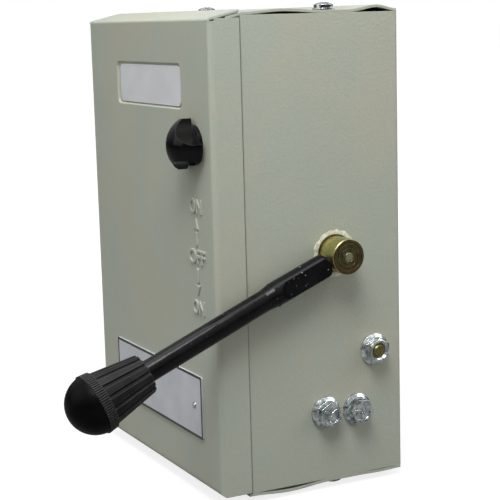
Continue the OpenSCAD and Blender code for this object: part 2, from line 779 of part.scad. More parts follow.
module body_shell() {
    strip = cover_top - cover_sheet - face_gap - body_sheet / 4;
    notch_rear = cover_rear + face_gap;
    color("#b4b9aa") difference() {
        union() {
            translate([0, 0, -panel_top]) linear_extrude(panel_height) difference() {
                body_plan(0);
                body_plan(body_sheet);
            }
            for (s = [-1, 1]) {
                translate([s > 0 ? panel_in - front_lip : -panel_in, body_front, -strip])
                    cube([front_lip, body_sheet, 2 * strip]);
                for (t = [-1, 1]) translate([s > 0 ? panel_in - screw_tab_length : -panel_in,
                    -end_screw_y - screw_tab_width / 2, t > 0 ? panel_top - body_sheet : -panel_top])
                    cube([screw_tab_length, screw_tab_width, body_sheet]);
            }
        }
        side_slab(-cover_width, 2 * cover_width) polygon([
            [body_front - cut_over, panel_top - flange_rise * (top_knee - body_front + cut_over)],
            [top_knee, panel_top], [top_knee, cover_height], [body_front - cut_over, cover_height]]);
        translate([-cover_width, body_front - cut_over, -strip - box_depth])
            cube([2 * cover_width, notch_rear - body_front + cut_over, box_depth]);
        for (s = [-1, 1], t = [-1, 1]) {
            translate([s * end_screw_x, -end_screw_y, t * panel_top - box_depth / 2])
                cylinder(h = box_depth, r = end_screw_diameter / 2 + thread_gap);
            to_front([s * wall_hole_x / 2, cut_over, t * wall_hole_z / 2])
                cylinder(h = body_sheet + 2 * cut_over, d = wall_hole_diameter);
        }
        to_right([panel_in - cut_over, -shaft_y, shaft_z])
            cylinder(h = body_sheet + 2 * cut_over, r = hub_diameter / 2 + hub_gap);
        for (p = [[earth_front_y, earth_front_z], [earth_rear_y, earth_rear_z], [stop_bolt_y, stop_bolt_z]])
            to_right([panel_in - cut_over, -p[0], p[1]])
                cylinder(h = body_sheet + 2 * cut_over, r = bolt_diameter / 2 + thread_gap);
    }
}

// Lift of an end plate off the panel's edge at y, for a bow in front of and behind its screws.
// The bow starts at y = start.
function plate_lift(y, start, front, rear) =
    abs(y + end_screw_y) < plate_flat ? 0
    : y < -end_screw_y
        ? front * pow(sin(180 * (y - start) / (-end_screw_y - plate_flat - start)), 2)
        : rear * pow(sin(180 * pow((y + end_screw_y - plate_flat)
            / (end_screw_y - plate_flat - end_plate_rear), bow_skew_share)), 2);

// End plate for the top, drawn with its bow, its turned-in lip and its knockouts.
// The lip stands behind y = lip_front, with its upper edge at z = lip_top.
module end_plate(start, front, rear, lip_front, lip_top) {
    steps = 40;
    run = -end_plate_rear - start;
    ys = [for (i = [0:steps]) start + run * i / steps];
    difference() {
        union() {
            side_slab(-panel_x, 2 * panel_x) polygon(concat(
                [for (y = ys) [y, panel_top + plate_lift(y, start, front, rear)]],
                [for (i = [steps:-1:0]) [ys[i], plate_out + plate_lift(ys[i], start, front, rear)]]));
            translate([-panel_in + face_gap, lip_front, lip_top - end_plate_lip])
                cube([2 * (panel_in - face_gap), body_sheet, end_plate_lip]);
        }
        for (s = [-1, 1]) translate([s * end_screw_x, -end_screw_y, panel_top - cut_over])
            cylinder(h = 2 * cut_over + body_sheet, r = end_screw_diameter / 2 + hole_gap);
        for (i = [-1:1]) translate([i * knockout_spacing, -end_screw_y, plate_out - knockout_cut])
            difference() {
                cylinder(h = box_depth / 4, d = knockout_diameter);
                cylinder(h = box_depth / 4, d = knockout_diameter - 2 * knockout_line);
                for (a = [0, 90]) rotate([0, 0, a]) cube([knockout_diameter * 2, body_sheet * 2, box_depth],
                    center = true);
            }
    }
}

// The top plate's front slopes down under the cover's top flange
module top_plate() {
    drop = flange_rise * (top_knee - top_nose);
    color("#b9bdae") union() {
        end_plate(top_knee, top_bow_front, top_bow_rear, top_nose, plate_out - drop - body_sheet / 2);
        side_slab(-panel_x, 2 * panel_x) polygon([[top_nose, panel_top - drop], [top_knee, panel_top],
            [top_knee, plate_out], [top_nose, plate_out - drop]]);
    }
}

module bottom_plate() {
    color("#a9ad9f") mirror([0, 0, 1]) end_plate(bottom_front, bottom_sag_front, bottom_sag_rear,
        cover_rear + face_gap, panel_top + body_sheet / 2);
}

module top_plate_screws() {
    color("#c9c9c6") for (s = [-1, 1]) translate([s * end_screw_x, -end_screw_y, plate_out])
        pan_screw(end_screw_diameter, end_screw_length, end_screw_flange, end_screw_edge, end_screw_head);
}

module bottom_plate_screws() {
    color("#c9c9c6") mirror([0, 0, 1]) for (s = [-1, 1])
        translate([s * end_screw_x, -end_screw_y, plate_out])
            pan_screw(end_screw_diameter, end_screw_length, end_screw_flange, end_screw_edge,
                end_screw_head);
}

// Moves a shape to the lower end of each hinge's axis
module at_hinges() {
    for (t = [-1, 1]) translate([hinge_axis_x, hinge_axis_y, t * hinge_z - hinge_length / 2]) children();
}

module body_hinge_leaves() {
    wall = -panel_x - hinge_axis_x;
    color("#b4b9aa") at_hinges()
        difference() {
            union() {
                translate([wall - leaf_thickness, knuckle_radius + face_gap, 0])
                    cube([leaf_thickness, leaf_reach - knuckle_radius, hinge_length]);
                for (z = [0, hinge_length - knuckle]) translate([0, 0, z]) {
                    cylinder(h = knuckle, r = knuckle_radius);
                    cube([wall, knuckle_radius, knuckle]);
                    translate([wall - leaf_thickness, 0, 0])
                        cube([leaf_thickness, 2 * knuckle_radius, knuckle]);
                }
            }
            translate([0, 0, -cut_over])
                cylinder(h = hinge_length + 2 * cut_over, r = hinge_pin_diameter / 2 + running_gap);
        }
}

module cover_hinge_leaves() {
    color("#b6b9ac") at_hinges()
        difference() {
            union() {
                translate([hinge_out - leaf_thickness, -leaf_reach, 0])
                    cube([leaf_thickness, leaf_reach - knuckle_radius - face_gap, hinge_length]);
                translate([0, 0, knuckle + face_gap]) {
                    cylinder(h = knuckle, r = knuckle_radius);
                    translate([hinge_out - leaf_thickness, -leaf_reach, 0])
                        cube([leaf_thickness, leaf_reach - face_gap, knuckle]);
                }
            }
            translate([0, 0, -cut_over])
                cylinder(h = hinge_length + 2 * cut_over, r = hinge_pin_diameter / 2 + running_gap);
        }
}

module hinge_pins() {
    color("#c2c2bd") at_hinges() {
        cylinder(h = hinge_length, d = hinge_pin_diameter);
        translate([0, 0, hinge_length]) cylinder(h = hinge_pin_head_height, r = hinge_pin_head);
        translate([0, 0, -hinge_pin_head_height]) cylinder(h = hinge_pin_head_height, r = hinge_pin_head);
    }
}

// Domed knob with three flutes, drawn on +Z
module latch_knob() {
    tall = knob_height - knob_skirt_height;
    color("#1c1b1e") to_front([latch_x, -box_depth, latch_z]) difference() {
        union() {
            difference() {
                translate([0, 0, knob_skirt_height]) rotate_extrude() intersection() {
                    translate([0, tall - knob_dome_radius]) circle(knob_dome_radius);
                    square([knob_diameter / 2, tall]);
                }
                for (i = [0:2]) rotate([0, 0, knob_flute_angle + 120 * i])
                    translate([knob_flute_reach, 0, -cut_over])
                        cylinder(h = knob_height + 2 * cut_over, r = knob_flute_radius);
            }
            cylinder(h = knob_skirt_height + face_gap, d = knob_skirt);
        }
        translate([0, 0, -cut_over])
            cylinder(h = cut_over + knob_height / 2, r = latch_spindle_diameter / 2 + thread_gap);
    }
}

module latch_spindle() {
    cam_rear = cam_front + cam_thickness;
    collar_front = -box_depth + cover_sheet + running_gap;
    color("#c8b560") {
        to_front([latch_x, cam_front, latch_z])
            cylinder(h = box_depth + cam_front + knob_height / 2, d = latch_spindle_diameter);
        to_front([latch_x, collar_front + latch_collar_thickness, latch_z])
            cylinder(h = latch_collar_thickness, d = latch_collar);
        to_front([latch_x, cam_rear + latch_nut_height + face_gap, latch_z])
            cylinder(h = cam_thickness + latch_nut_height + 2 * face_gap, d = latch_thread);
    }
}

module latch_cam() {
    color("#c8b560") front_slab(cam_front + cam_thickness, cam_thickness) translate([latch_x, latch_z])
        difference() {
            rotate(90) link(cam_root, cam_nose, cam_reach);
            circle(latch_thread / 2 + thread_gap);
        }
}

module latch_nut() {
    color("#c9c9c6") to_front([latch_x, cam_front + cam_thickness + latch_nut_height, latch_z]) difference() {
        cylinder(h = latch_nut_height, d = latch_nut_flats / cos(30), $fn = 6);
        translate([0, 0, -cut_over])
            cylinder(h = latch_nut_height + 2 * cut_over, r = latch_thread / 2 + thread_gap);
    }
}

module right_bearing() {
    color("#8d8a84") difference() {
        union() {
            to_right([hub_inner_x, -shaft_y, shaft_z]) cylinder(h = hub_inside, d = right_sleeve);
            to_right([panel_in - bearing_flange_thickness, -shaft_y, shaft_z])
                cylinder(h = bearing_flange_thickness, d = bearing_flange);
        }
        to_right([hub_inner_x - cut_over, -shaft_y, shaft_z])
            cylinder(h = hub_inside + 2 * cut_over, r = hub_diameter / 2 + running_gap);
    }
}

module left_bearing() {
    color("#8d8a84") difference() {
        union() {
            to_right([-panel_in, -shaft_y, shaft_z]) cylinder(h = left_bearing_length, d = left_sleeve);
            to_right([-panel_in, -shaft_y, shaft_z])
                cylinder(h = bearing_flange_thickness, d = bearing_flange);
        }
        to_right([-panel_in + bearing_flange_thickness, -shaft_y, shaft_z])
            cylinder(h = left_bearing_length, r = shaft_diameter / 2 + running_gap);
    }
}

// Turned hub and shaft in one piece, with a cross hole for the rod
module hub_shaft() {
    left_end = -panel_in + bearing_flange_thickness + face_gap;
    color("#b9a95e") difference() {
        at_shaft() union() {
            to_right([left_end, 0, 0]) cylinder(h = hub_end - left_end - hub_bevel, d = shaft_diameter);
            to_right([hub_inner_x, 0, 0]) cylinder(h = hub_end - hub_bevel - hub_inner_x, d = hub_diameter);
            to_right([hub_end - hub_bevel, 0, 0])
                cylinder(h = hub_bevel, d1 = hub_diameter, d2 = hub_diameter - 2 * hub_bevel);
        }
        at_shaft() for (share = hub_ring_share) to_right([hub_end - hub_ring_depth, 0, 0]) difference() {
            cylinder(h = cut_over, r = share * hub_diameter / 2 + hub_ring_width / 2);
            cylinder(h = cut_over, r = share * hub_diameter / 2 - hub_ring_width / 2);
        }
        on_rod() translate([-rod_spigot_past, 0, 0])
            to_right([0, 0, 0]) cylinder(h = hub_diameter, r = rod_spigot / 2 + thread_gap);
    }
}

module shaft_collar() {
    x = -panel_in + left_bearing_length + face_gap;
    color("#9c9a94") at_shaft() difference() {
        to_right([x, 0, 0]) cylinder(h = collar_thickness, d = collar_diameter);
        to_right([x - cut_over, 0, 0]) cylinder(h = collar_thickness + 2 * cut_over, d = shaft_diameter);
        translate([x + collar_thickness / 2, 0, 0]) rotate([90, 0, 0])
            cylinder(h = collar_diameter, r = base_screw_diameter / 2 + thread_gap);
    }
}

module collar_screw() {
    x = -panel_in + left_bearing_length + face_gap + collar_thickness / 2;
    color("#6f6f6f") at_shaft() translate([x, -shaft_diameter / 2, 0]) rotate([90, 0, 0])
        difference() {
            cylinder(h = (collar_diameter - shaft_diameter) / 2, d = base_screw_diameter);
            translate([0, 0, (collar_diameter - shaft_diameter) / 4])
                cylinder(h = collar_diameter, d = base_screw_diameter / 2, $fn = 6);
        }
}

// Cone-shaped spring washer that keeps the handle where it is put
module friction_washer_ring() {
    x = hub_inner_x - friction_washer_height - running_gap;
    low = shaft_diameter / 2 + hole_gap;
    rise = friction_washer_height - friction_washer_thickness;
    color("#8f9296") at_shaft() to_right([x, 0, 0]) rotate_extrude()
        polygon([[low, 0], [low, friction_washer_thickness],
            [friction_washer / 2, friction_washer_height], [friction_washer / 2, rise]]);
}

// Frame of the handle: +X runs out along the rod, +Z is up across it, +Y points to the box
module on_rod() {
    translate([rod_x, -shaft_y, shaft_z]) rotate([handle_dip, 0, 0]) rotate([0, 0, -90]) children();
}

// Frame of the rod past its thicker part, which tilts away from the box
module on_tilted_rod() {
    on_rod() translate([rod_root_end, 0, 0]) rotate([0, 0, rod_tilt]) children();
}

// Rod with a thicker, rounded near end that has two flats, and a taper to the plain rod
module handle_rod() {
    r = rod_root / 2;
    half = rod_flat_thickness / 2;
    rise = r - half + face_gap;
    corner = r - rod_end_round;
    color("#1f1e24") union() {
        on_rod() {
            difference() {
                to_right([rod_start, 0, 0]) rotate_extrude() {
                    translate([0, rod_end_round]) square([r, rod_root_end - rod_start - rod_end_round]);
                    square([corner, 2 * rod_end_round]);
                    translate([corner, rod_end_round]) intersection() {
                        circle(rod_end_round);
                        translate([0, -rod_end_round]) square(rod_end_round);
                    }
                }
                for (m = [0, 1]) mirror([0, m, 0]) translate([0, 0, -rod_root]) linear_extrude(2 * rod_root)
                    polygon([[0, half], [rod_flat_end, half],
                        [rod_flat_end + rise / tan(rod_shoulder_slope), half + rise], [0, half + rise]]);
            }
            to_right([0, 0, 0]) cylinder(h = rod_start + rod_end_round, d = rod_spigot);
        }
        on_tilted_rod() {
            to_right([-2 * face_gap, 0, 0]) cylinder(h = rod_taper + 2 * face_gap,
                d1 = rod_root - thread_gap, d2 = rod_diameter);
            to_right([rod_taper, 0, 0])
                cylinder(h = rod_end - rod_root_end - rod_taper, d = rod_diameter);
        }
    }
}

// Fluted cone with a toothed collar that flares towards the dome
module grip_cone() {
    slope = atan((grip_large - grip_small) / 2 / grip_cone_length);
    flare = atan((grip_collar - grip_collar_foot) / 2 / grip_collar_width);
    tooth = 2 * grip_tooth_depth;
    back = cut_over / 4;
    color("#1f1d20") on_tilted_rod() translate([grip_start - rod_root_end, 0, 0]) difference() {
        union() {
            to_right([0, 0, 0]) cylinder(h = grip_cone_length, d1 = grip_small, d2 = grip_large);
            to_right([grip_cone_length, 0, 0])
                cylinder(h = grip_collar_width, d1 = grip_collar_foot, d2 = grip_collar);
        }
        for (i = [0:grip_flutes - 1]) rotate([360 * i / grip_flutes, 0, 0])
            translate([-cut_over, 0, grip_small / 2 - cut_over * tan(slope)])
                rotate([0, 90 - slope, 0]) cylinder(h = grip_cone_length / cos(slope) + cut_over,
                    r = grip_flute_radius, $fn = 24);
        for (i = [0:grip_teeth - 1]) rotate([360 * i / grip_teeth, 0, 0])
            translate([grip_cone_length - back, 0,
                grip_collar_foot / 2 - grip_tooth_depth - back * tan(flare)])
                rotate([0, 90 - flare, 0]) linear_extrude(grip_collar_width / cos(flare) + 2 * back)
                    polygon([[0, 0], [-tooth, grip_tooth_depth], [-tooth, -grip_tooth_depth]]);
        to_right([-cut_over, 0, 0]) cylinder(h = grip_cone_length + grip_collar_width + 2 * cut_over,
            r = rod_diameter / 2 + thread_gap);
    }
}

module grip_dome() {
    base = grip_start + grip_cone_length + grip_collar_width - rod_root_end;
    color("#161518") on_tilted_rod() difference() {
        to_right([base, 0, 0]) rotate_extrude() intersection() {
            translate([0, dome_height - dome_radius]) circle(dome_radius);
            square([dome_radius, dome_height]);
        }
        to_right([base - cut_over, 0, 0])
            cylinder(h = cut_over + dome_socket, r = rod_diameter / 2 + thread_gap);
    }
}

// Plate inside the right panel whose curved slot ends the handle's swing
module stop_plate() {
    slot = lever_pin / 2 + face_gap;
    color("#a7a9a6") at_shaft() difference() {
        side_slab(stop_x, stop_plate_thickness) rotate(stop_angle) difference() {
            link(stop_plate_root, stop_plate_end, stop_distance);
            circle(right_sleeve / 2 + thread_gap);
            translate([stop_distance, 0]) circle(bolt_diameter / 2 + thread_gap);
            for (s = [-1, 1]) rotate(s * off_angle) translate([lever_reach, 0]) circle(slot);
        }
        translate([stop_x - cut_over, 0, 0]) rotate([90, 0, 90]) rotate([0, 0, stop_angle - off_angle])
            rotate_extrude(angle = 2 * off_angle)
                translate([lever_reach - slot_side_share * slot, 0])
                    square([2 * slot_side_share * slot, stop_plate_thickness + 2 * cut_over]);
    }
}

module stop_spacer() {
    color("#b5b29f") translate([0, -stop_bolt_y, stop_bolt_z]) difference() {
        to_right([stop_x + stop_plate_thickness, 0, 0])
            cylinder(h = stop_plate_gap, d = stop_spacer_share * bolt_diameter);
        to_right([stop_x, 0, 0]) cylinder(h = 3 * stop_plate_gap, r = bolt_diameter / 2 + thread_gap);
    }
}

module stop_bolt() {
    bevel = bolt_end_share * bolt_diameter;
    out = panel_x + bolt_head_height - stop_bolt_short - bevel;
    color("#c8b560") translate([0, -stop_bolt_y, stop_bolt_z]) {
        to_right([stop_x, 0, 0]) cylinder(h = out - stop_x, d = bolt_diameter);
        to_right([out, 0, 0]) cylinder(h = bevel, d1 = bolt_diameter, d2 = bolt_diameter - 2 * bevel);
        to_right([stop_x - inner_nut_height, 0, 0])
            cylinder(h = inner_nut_height, d = bolt_flats / cos(30), $fn = 6);
    }
}

module stop_bolt_nut() {
    sink = (nut_countersink - bolt_diameter) / 2;
    color("#c2c2bd") to_right([panel_x, -stop_bolt_y, stop_bolt_z]) difference() {
        flanged_hex(bolt_flats, bolt_flange, bolt_flange_edge, bolt_head_height, nut_top_share);
        translate([0, 0, -cut_over])
            cylinder(h = bolt_head_height + 2 * cut_over, r = bolt_diameter / 2 + thread_gap);
        translate([0, 0, bolt_head_height - sink])
            cylinder(h = sink + cut_over, d1 = bolt_diameter, d2 = nut_countersink + 2 * cut_over);
    }
}

// Lever clamped on the shaft, drawn with the handle down
module lever() {
    color("#a7a9a6") at_shaft() side_slab(lever_x, lever_thickness) rotate(stop_angle + off_angle)
        difference() {
            link(lever_root, lever_nose, lever_reach);
            circle(d = shaft_diameter);
            translate([lever_reach, 0]) circle(d = lever_pin);
        }
}

module lever_pin_rod() {
    tip = stop_x + stop_plate_thickness + lever_pin_past;
    color("#c2c2bd") at_shaft() rotate([stop_angle + off_angle, 0, 0]) translate([0, lever_reach, 0])
        to_right([lever_x, 0, 0]) cylinder(h = tip - lever_x, d = lever_pin);
}

// Flange bolts, each with a hollow in its head and three raised lines in the hollow
module earth_bolts() {
    floor = bolt_head_height - bolt_hollow_depth;
    color("#c9c9c6") for (p = [[earth_front_y, earth_front_z, 0], [earth_rear_y, earth_rear_z, bolt_turn]]) {
        to_right([panel_x, -p[0], p[1]]) rotate([0, 0, p[2]]) {
            difference() {
                flanged_hex(bolt_flats, bolt_flange, bolt_flange_edge, bolt_head_height, head_top_share);
                translate([0, 0, floor]) cylinder(h = cut_over, d = bolt_hollow);
            }
            for (a = [0, 120, 240]) rotate([0, 0, a])
                translate([bolt_line_width, -bolt_line_width / 2, floor - bolt_line_width])
                    cube([bolt_hollow / 2 - bolt_line_width / 2, bolt_line_width,
                        bolt_line_width + bolt_hollow_depth / 2]);
        }
        to_right([panel_x - earth_bolt_length, -p[0], p[1]])
            cylinder(h = earth_bolt_length + bolt_flange_edge, d = bolt_diameter);
    }
}

module earth_bar() {
    run = [earth_front_y - earth_rear_y, earth_front_z - earth_rear_z];
    r = earth_bar_width / 2;
    color("#c7a04a") translate([0, -earth_front_y, earth_front_z])
        side_slab(panel_in - earth_bar_thickness, earth_bar_thickness)
            rotate(atan2(-run[1], run[0])) difference() {
                union() {
                    circle(r);
                    translate([norm(run), 0]) circle(r);
                    translate([0, -r]) square([norm(run), 2 * r]);
                }
                for (x = [0, norm(run)]) translate([x, 0]) circle(bolt_diameter / 2 + thread_gap);
            }
}

module earth_nuts() {
    color("#c9c9c6") for (p = [[earth_front_y, earth_front_z], [earth_rear_y, earth_rear_z]])
        to_right([panel_in - earth_bar_thickness - inner_nut_height, -p[0], p[1]]) difference() {
            cylinder(h = inner_nut_height, d = bolt_flats / cos(30), $fn = 6);
            translate([0, 0, -cut_over])
                cylinder(h = inner_nut_height + 2 * cut_over, r = bolt_diameter / 2 + thread_gap);
        }
}

// Hat-shaped rails on the back wall
module base_rails() {
    half = rail_top / 2;
    h = rail_height;
    t = body_sheet;
    color("#b4b9aa") difference() {
        for (s = [-1, 1]) side_slab(-base_width / 2, base_width)
            translate([-body_sheet, s * rail_z]) polygon([[0, -half - rail_foot], [0, -half + t],
                [t - h, -half + t], [t - h, half - t], [0, half - t], [0, half + rail_foot],
                [-t, half + rail_foot], [-t, half], [-h, half], [-h, -half], [-t, -half],
                [-t, -half - rail_foot]]);
        for (s = [-1, 1], t = [-1, 1]) to_front([s * base_screw_x, -body_sheet - body_sheet, t * rail_z])
            cylinder(h = rail_height, r = base_screw_diameter / 2 + thread_gap);
    }
}

module insulating_base() {
    color("#4a2f26") difference() {
        union() {
            front_slab(base_back, base_thickness) round_rect(base_width, base_height, base_corner);
            for (s = [-1, 1], t = [-1, 1])
                translate([s * rib_x - rib_thickness / 2, base_front - rib_height,
                    t > 0 ? base_height / 2 - rib_length - base_corner : -base_height / 2 + base_corner])
                    cube([rib_thickness, rib_height, rib_length]);
        }
        for (s = [-1, 1], t = [-1, 1]) {
            to_front([s * base_screw_x, base_back + cut_over, t * rail_z])
                cylinder(h = base_thickness + 2 * cut_over, r = base_screw_diameter / 2 + hole_gap);
            to_front([s * pole_x, base_front + contact_screw_length, shaft_z + t * supply_screw_z])
                cylinder(h = contact_screw_length + cut_over, r = base_screw_diameter / 2 + thread_gap);
        }
        for (s = [-1, 1]) to_front([s * load_screw_x, base_front + contact_screw_length, shaft_z])
            cylinder(h = contact_screw_length + cut_over, r = base_screw_diameter / 2 + thread_gap);
        translate([-barrier_thickness / 2 - thread_gap, base_front - cut_over,
            shaft_z - barrier_height / 2 - thread_gap])
            cube([barrier_thickness + 2 * thread_gap, barrier_foot + cut_over,
                barrier_height + 2 * thread_gap]);
    }
}

module base_screws() {
    shank = base_thickness + body_sheet + body_sheet;
    color("#c9c9c6") for (s = [-1, 1], t = [-1, 1]) to_front([s * base_screw_x, base_front, t * rail_z])
        slot_screw(base_screw_diameter, shank, base_screw_head, base_screw_height);
}

module arc_barrier() {
    color("#6b5a4a") side_slab(-barrier_thickness / 2, barrier_thickness) difference() {
        translate([base_front - barrier_reach, shaft_z - barrier_height / 2])
            square([barrier_reach + barrier_foot, barrier_height]);
        translate([-shaft_y, shaft_z]) circle(barrier_notch);
        translate([-shaft_y - box_depth, shaft_z - barrier_notch]) square([box_depth, 2 * barrier_notch]);
    }
}

module rotor_bar() {
    color("#3a2620") at_shaft() rotate([-handle_dip, 0, 0]) difference() {
        side_slab(-rotor_length / 2, rotor_length) square(rotor_bar_width, center = true);
        to_right([-rotor_length, 0, 0]) cylinder(h = 2 * rotor_length, d = shaft_diameter);
    }
}

module rotor_spacers() {
    ends = [-rotor_length / 2, -pole_x - blade_thickness / 2, -pole_x + blade_thickness / 2,
        pole_x - blade_thickness / 2, pole_x + blade_thickness / 2, rotor_length / 2];
    color("#4a342b") at_shaft() rotate([-handle_dip, 0, 0]) for (i = [0, 2, 4])
        side_slab(ends[i], ends[i + 1] - ends[i]) difference() {
            circle(d = spacer_diameter);
            square(rotor_bar_width, center = true);
        }
}

// Two blades, each a ring with an upper and a lower arm, drawn with the handle down
module moving_blades() {
    tip = blade_width / 2;
    color("#b9744a") at_shaft() for (s = [-1, 1]) side_slab(s * pole_x - blade_thickness / 2, blade_thickness)
        difference() {
            union() {
                circle(blade_ring);
                for (a = [-90 + blade_lean, 90 - blade_lean + handle_swing]) rotate(a) {
                    translate([0, -tip]) square([blade_reach - tip, blade_width]);
                    translate([blade_reach - tip, 0]) circle(tip);
                }
            }
            rotate(-handle_dip) square(rotor_bar_width, center = true);
        }
}

// Pair of spring plates on both sides of a blade, in Y and Z
module jaw_pair(front, low, high) {
    half = blade_thickness / 2 + blade_gap;
    for (s = [-1, 1]) translate([s > 0 ? half : -half - jaw_metal, -front, low])
        cube([jaw_metal, front + base_front, high - low]);
}

// Supply contact above the shaft, drawn for a pole at x = 0 and a shaft at z = 0
module supply_contact() {
    far = supply_terminal_z + terminal_height / 2;
    difference() {
        union() {
            jaw_pair(jaw_front, jaw_inner, jaw_outer);
            translate([-foot_width / 2, foot_front, jaw_inner])
                cube([foot_width, foot_thickness, far - jaw_inner]);
        }
        to_front([0, base_front + cut_over, supply_screw_z])
            cylinder(h = foot_thickness + 2 * cut_over, r = base_screw_diameter / 2 + thread_gap);
    }
}

module upper_contacts() {
    color("#b87333") for (s = [-1, 1]) translate([s * pole_x, 0, shaft_z]) supply_contact();
}

module lower_contacts() {
    color("#b87333") for (s = [-1, 1]) translate([s * pole_x, 0, shaft_z]) mirror([0, 0, 1]) supply_contact();
}

module load_contacts() {
    h = middle_jaw_height;
    out = load_terminal_x + foot_width / 2;
    color("#b87333") for (s = [0, 1]) mirror([s, 0, 0]) translate([0, 0, shaft_z]) difference() {
        union() {
            translate([pole_x, 0, 0]) jaw_pair(middle_jaw_front, -h / 2, h / 2);
            translate([pole_x - foot_width / 2, foot_front, -h / 2])
                cube([out - pole_x + foot_width / 2, foot_thickness, h]);
            translate([out - foot_width, foot_front, load_terminal_z - terminal_height / 2])
                cube([foot_width, foot_thickness, terminal_height / 2 - load_terminal_z]);
        }
        to_front([load_screw_x, base_front + cut_over, 0])
            cylinder(h = foot_thickness + 2 * cut_over, r = base_screw_diameter / 2 + thread_gap);
    }
}

module contact_screws() {
    spots = concat([for (s = [-1, 1], t = [-1, 1]) [s * pole_x, shaft_z + t * supply_screw_z]],
        [for (s = [-1, 1]) [s * load_screw_x, shaft_z]]);
    color("#c9c9c6") for (p = spots) to_front([p[0], foot_front, p[1]])
        slot_screw(base_screw_diameter, foot_thickness + contact_screw_length - thread_gap,
            base_screw_head, base_screw_height);
}

module terminal_blocks() {
    color("#c7a04a") for (p = terminal_spots) translate([p[0], foot_front, p[1]]) difference() {
        translate([-terminal_width / 2, -terminal_depth, -terminal_height / 2])
            cube([terminal_width, terminal_depth, terminal_height]);
        translate([0, -wire_hole_rise, -terminal_height]) cylinder(h = 2 * terminal_height, d = wire_hole);
        translate([0, -wire_hole_rise, 0]) rotate([90, 0, 0])
            cylinder(h = 2 * terminal_depth, r = terminal_screw / 2 + thread_gap);
    }
}

module terminal_screws() {
    shank = terminal_depth - wire_hole_rise - wire_hole / 2 + face_gap;
    color("#c9c9c6") for (p = terminal_spots) to_front([p[0], foot_front - terminal_depth, p[1]])
        slot_screw(terminal_screw, shank, terminal_screw_head, terminal_screw_height);
}

body_shell();
front_cover();
badge_plate();
rating_plate();
rating_rivets();
top_plate();
bottom_plate();
top_plate_screws();
bottom_plate_screws();
body_hinge_leaves();
cover_hinge_leaves();
hinge_pins();
latch_knob();
latch_spindle();
latch_cam();
latch_nut();
right_bearing();
left_bearing();
hub_shaft();
shaft_collar();
collar_screw();
friction_washer_ring();
handle_rod();
grip_cone();
grip_dome();
stop_plate();
stop_spacer();
stop_bolt();
stop_bolt_nut();
lever();
lever_pin_rod();
earth_bolts();
earth_bar();
earth_nuts();
base_rails();
insulating_base();
base_screws();
arc_barrier();
rotor_bar();
rotor_spacers();
moving_blades();
upper_contacts();
lower_contacts();
load_contacts();
contact_screws();
terminal_blocks();
terminal_screws();
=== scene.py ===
"""The looks of a wall-mounted changeover switch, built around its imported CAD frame."""

import json
import math
import random

import bmesh
import bpy
from mathutils import Matrix, Vector


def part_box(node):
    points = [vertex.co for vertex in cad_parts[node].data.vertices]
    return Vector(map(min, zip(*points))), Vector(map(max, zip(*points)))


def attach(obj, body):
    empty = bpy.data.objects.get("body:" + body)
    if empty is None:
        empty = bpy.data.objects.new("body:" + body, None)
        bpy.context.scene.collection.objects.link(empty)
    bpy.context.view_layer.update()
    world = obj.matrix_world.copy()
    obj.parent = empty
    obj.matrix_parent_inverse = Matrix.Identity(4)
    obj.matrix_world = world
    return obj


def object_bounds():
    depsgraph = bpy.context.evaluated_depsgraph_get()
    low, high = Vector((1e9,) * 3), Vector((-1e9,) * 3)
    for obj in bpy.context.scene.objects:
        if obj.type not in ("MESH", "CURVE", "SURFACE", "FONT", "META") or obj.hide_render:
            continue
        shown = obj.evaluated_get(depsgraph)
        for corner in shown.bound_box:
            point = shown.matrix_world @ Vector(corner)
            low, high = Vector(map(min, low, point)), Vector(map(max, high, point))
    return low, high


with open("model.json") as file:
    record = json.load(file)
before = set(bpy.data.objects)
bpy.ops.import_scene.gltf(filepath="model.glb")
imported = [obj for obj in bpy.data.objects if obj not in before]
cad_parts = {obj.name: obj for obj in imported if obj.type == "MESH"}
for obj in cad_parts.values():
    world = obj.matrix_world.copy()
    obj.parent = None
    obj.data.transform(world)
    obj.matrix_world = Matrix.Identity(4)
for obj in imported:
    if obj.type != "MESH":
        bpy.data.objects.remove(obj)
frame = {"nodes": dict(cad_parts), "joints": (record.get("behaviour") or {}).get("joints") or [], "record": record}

# Sizes in metres, in the row frame: X to the right, the front faces -Y, Z up
MM = 0.001
CAD_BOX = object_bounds()
CAD_LOW, CAD_HIGH = (Vector(corner) for corner in CAD_BOX)
COVER_LOW, COVER_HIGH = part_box("front_cover")
PLATE_LOW, PLATE_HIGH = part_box("rating_plate")
FRONT_FACE = COVER_LOW.y
SIDE_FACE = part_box("body_shell")[1].x
HUB_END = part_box("hub_shaft")[1].x
# The cover's top flange reaches this much further back than its side flanges
TOP_FLANGE_PAST = 1.5 * MM
FLANGE_REAR = COVER_HIGH.y - TOP_FLANGE_PAST
HANDLE = next(j for j in frame["joints"] if j["name"] == "handle_swing")
HANDLE_AXIS = Vector(HANDLE["pos_m"])

SCENE = bpy.context.scene


def linked(name, data):
    """A new object in the scene that holds this data."""
    made = bpy.data.objects.new(name, data)
    SCENE.collection.objects.link(made)
    return made


def meshed(name, work):
    """A mesh of the finished shape, with its faces turned outwards."""
    bmesh.ops.recalc_face_normals(work, faces=work.faces)
    mesh = bpy.data.meshes.new(name)
    work.to_mesh(mesh)
    work.free()
    return mesh


# Camera: where the photograph was taken from
CAMERA_PLACE = Vector((0.603516, -0.349995, 0.104333))
CAMERA_RIGHT = Vector((0.45755385, 0.88876928, -0.02708589))
CAMERA_UP = Vector((-0.13339866, 0.09872905, 0.98613253))
CAMERA_BACK = Vector((0.87911846, -0.44759552, 0.16373449))
LENS_MM = 100.56
SENSOR_MM = 36.0
NEAREST = 10 * MM


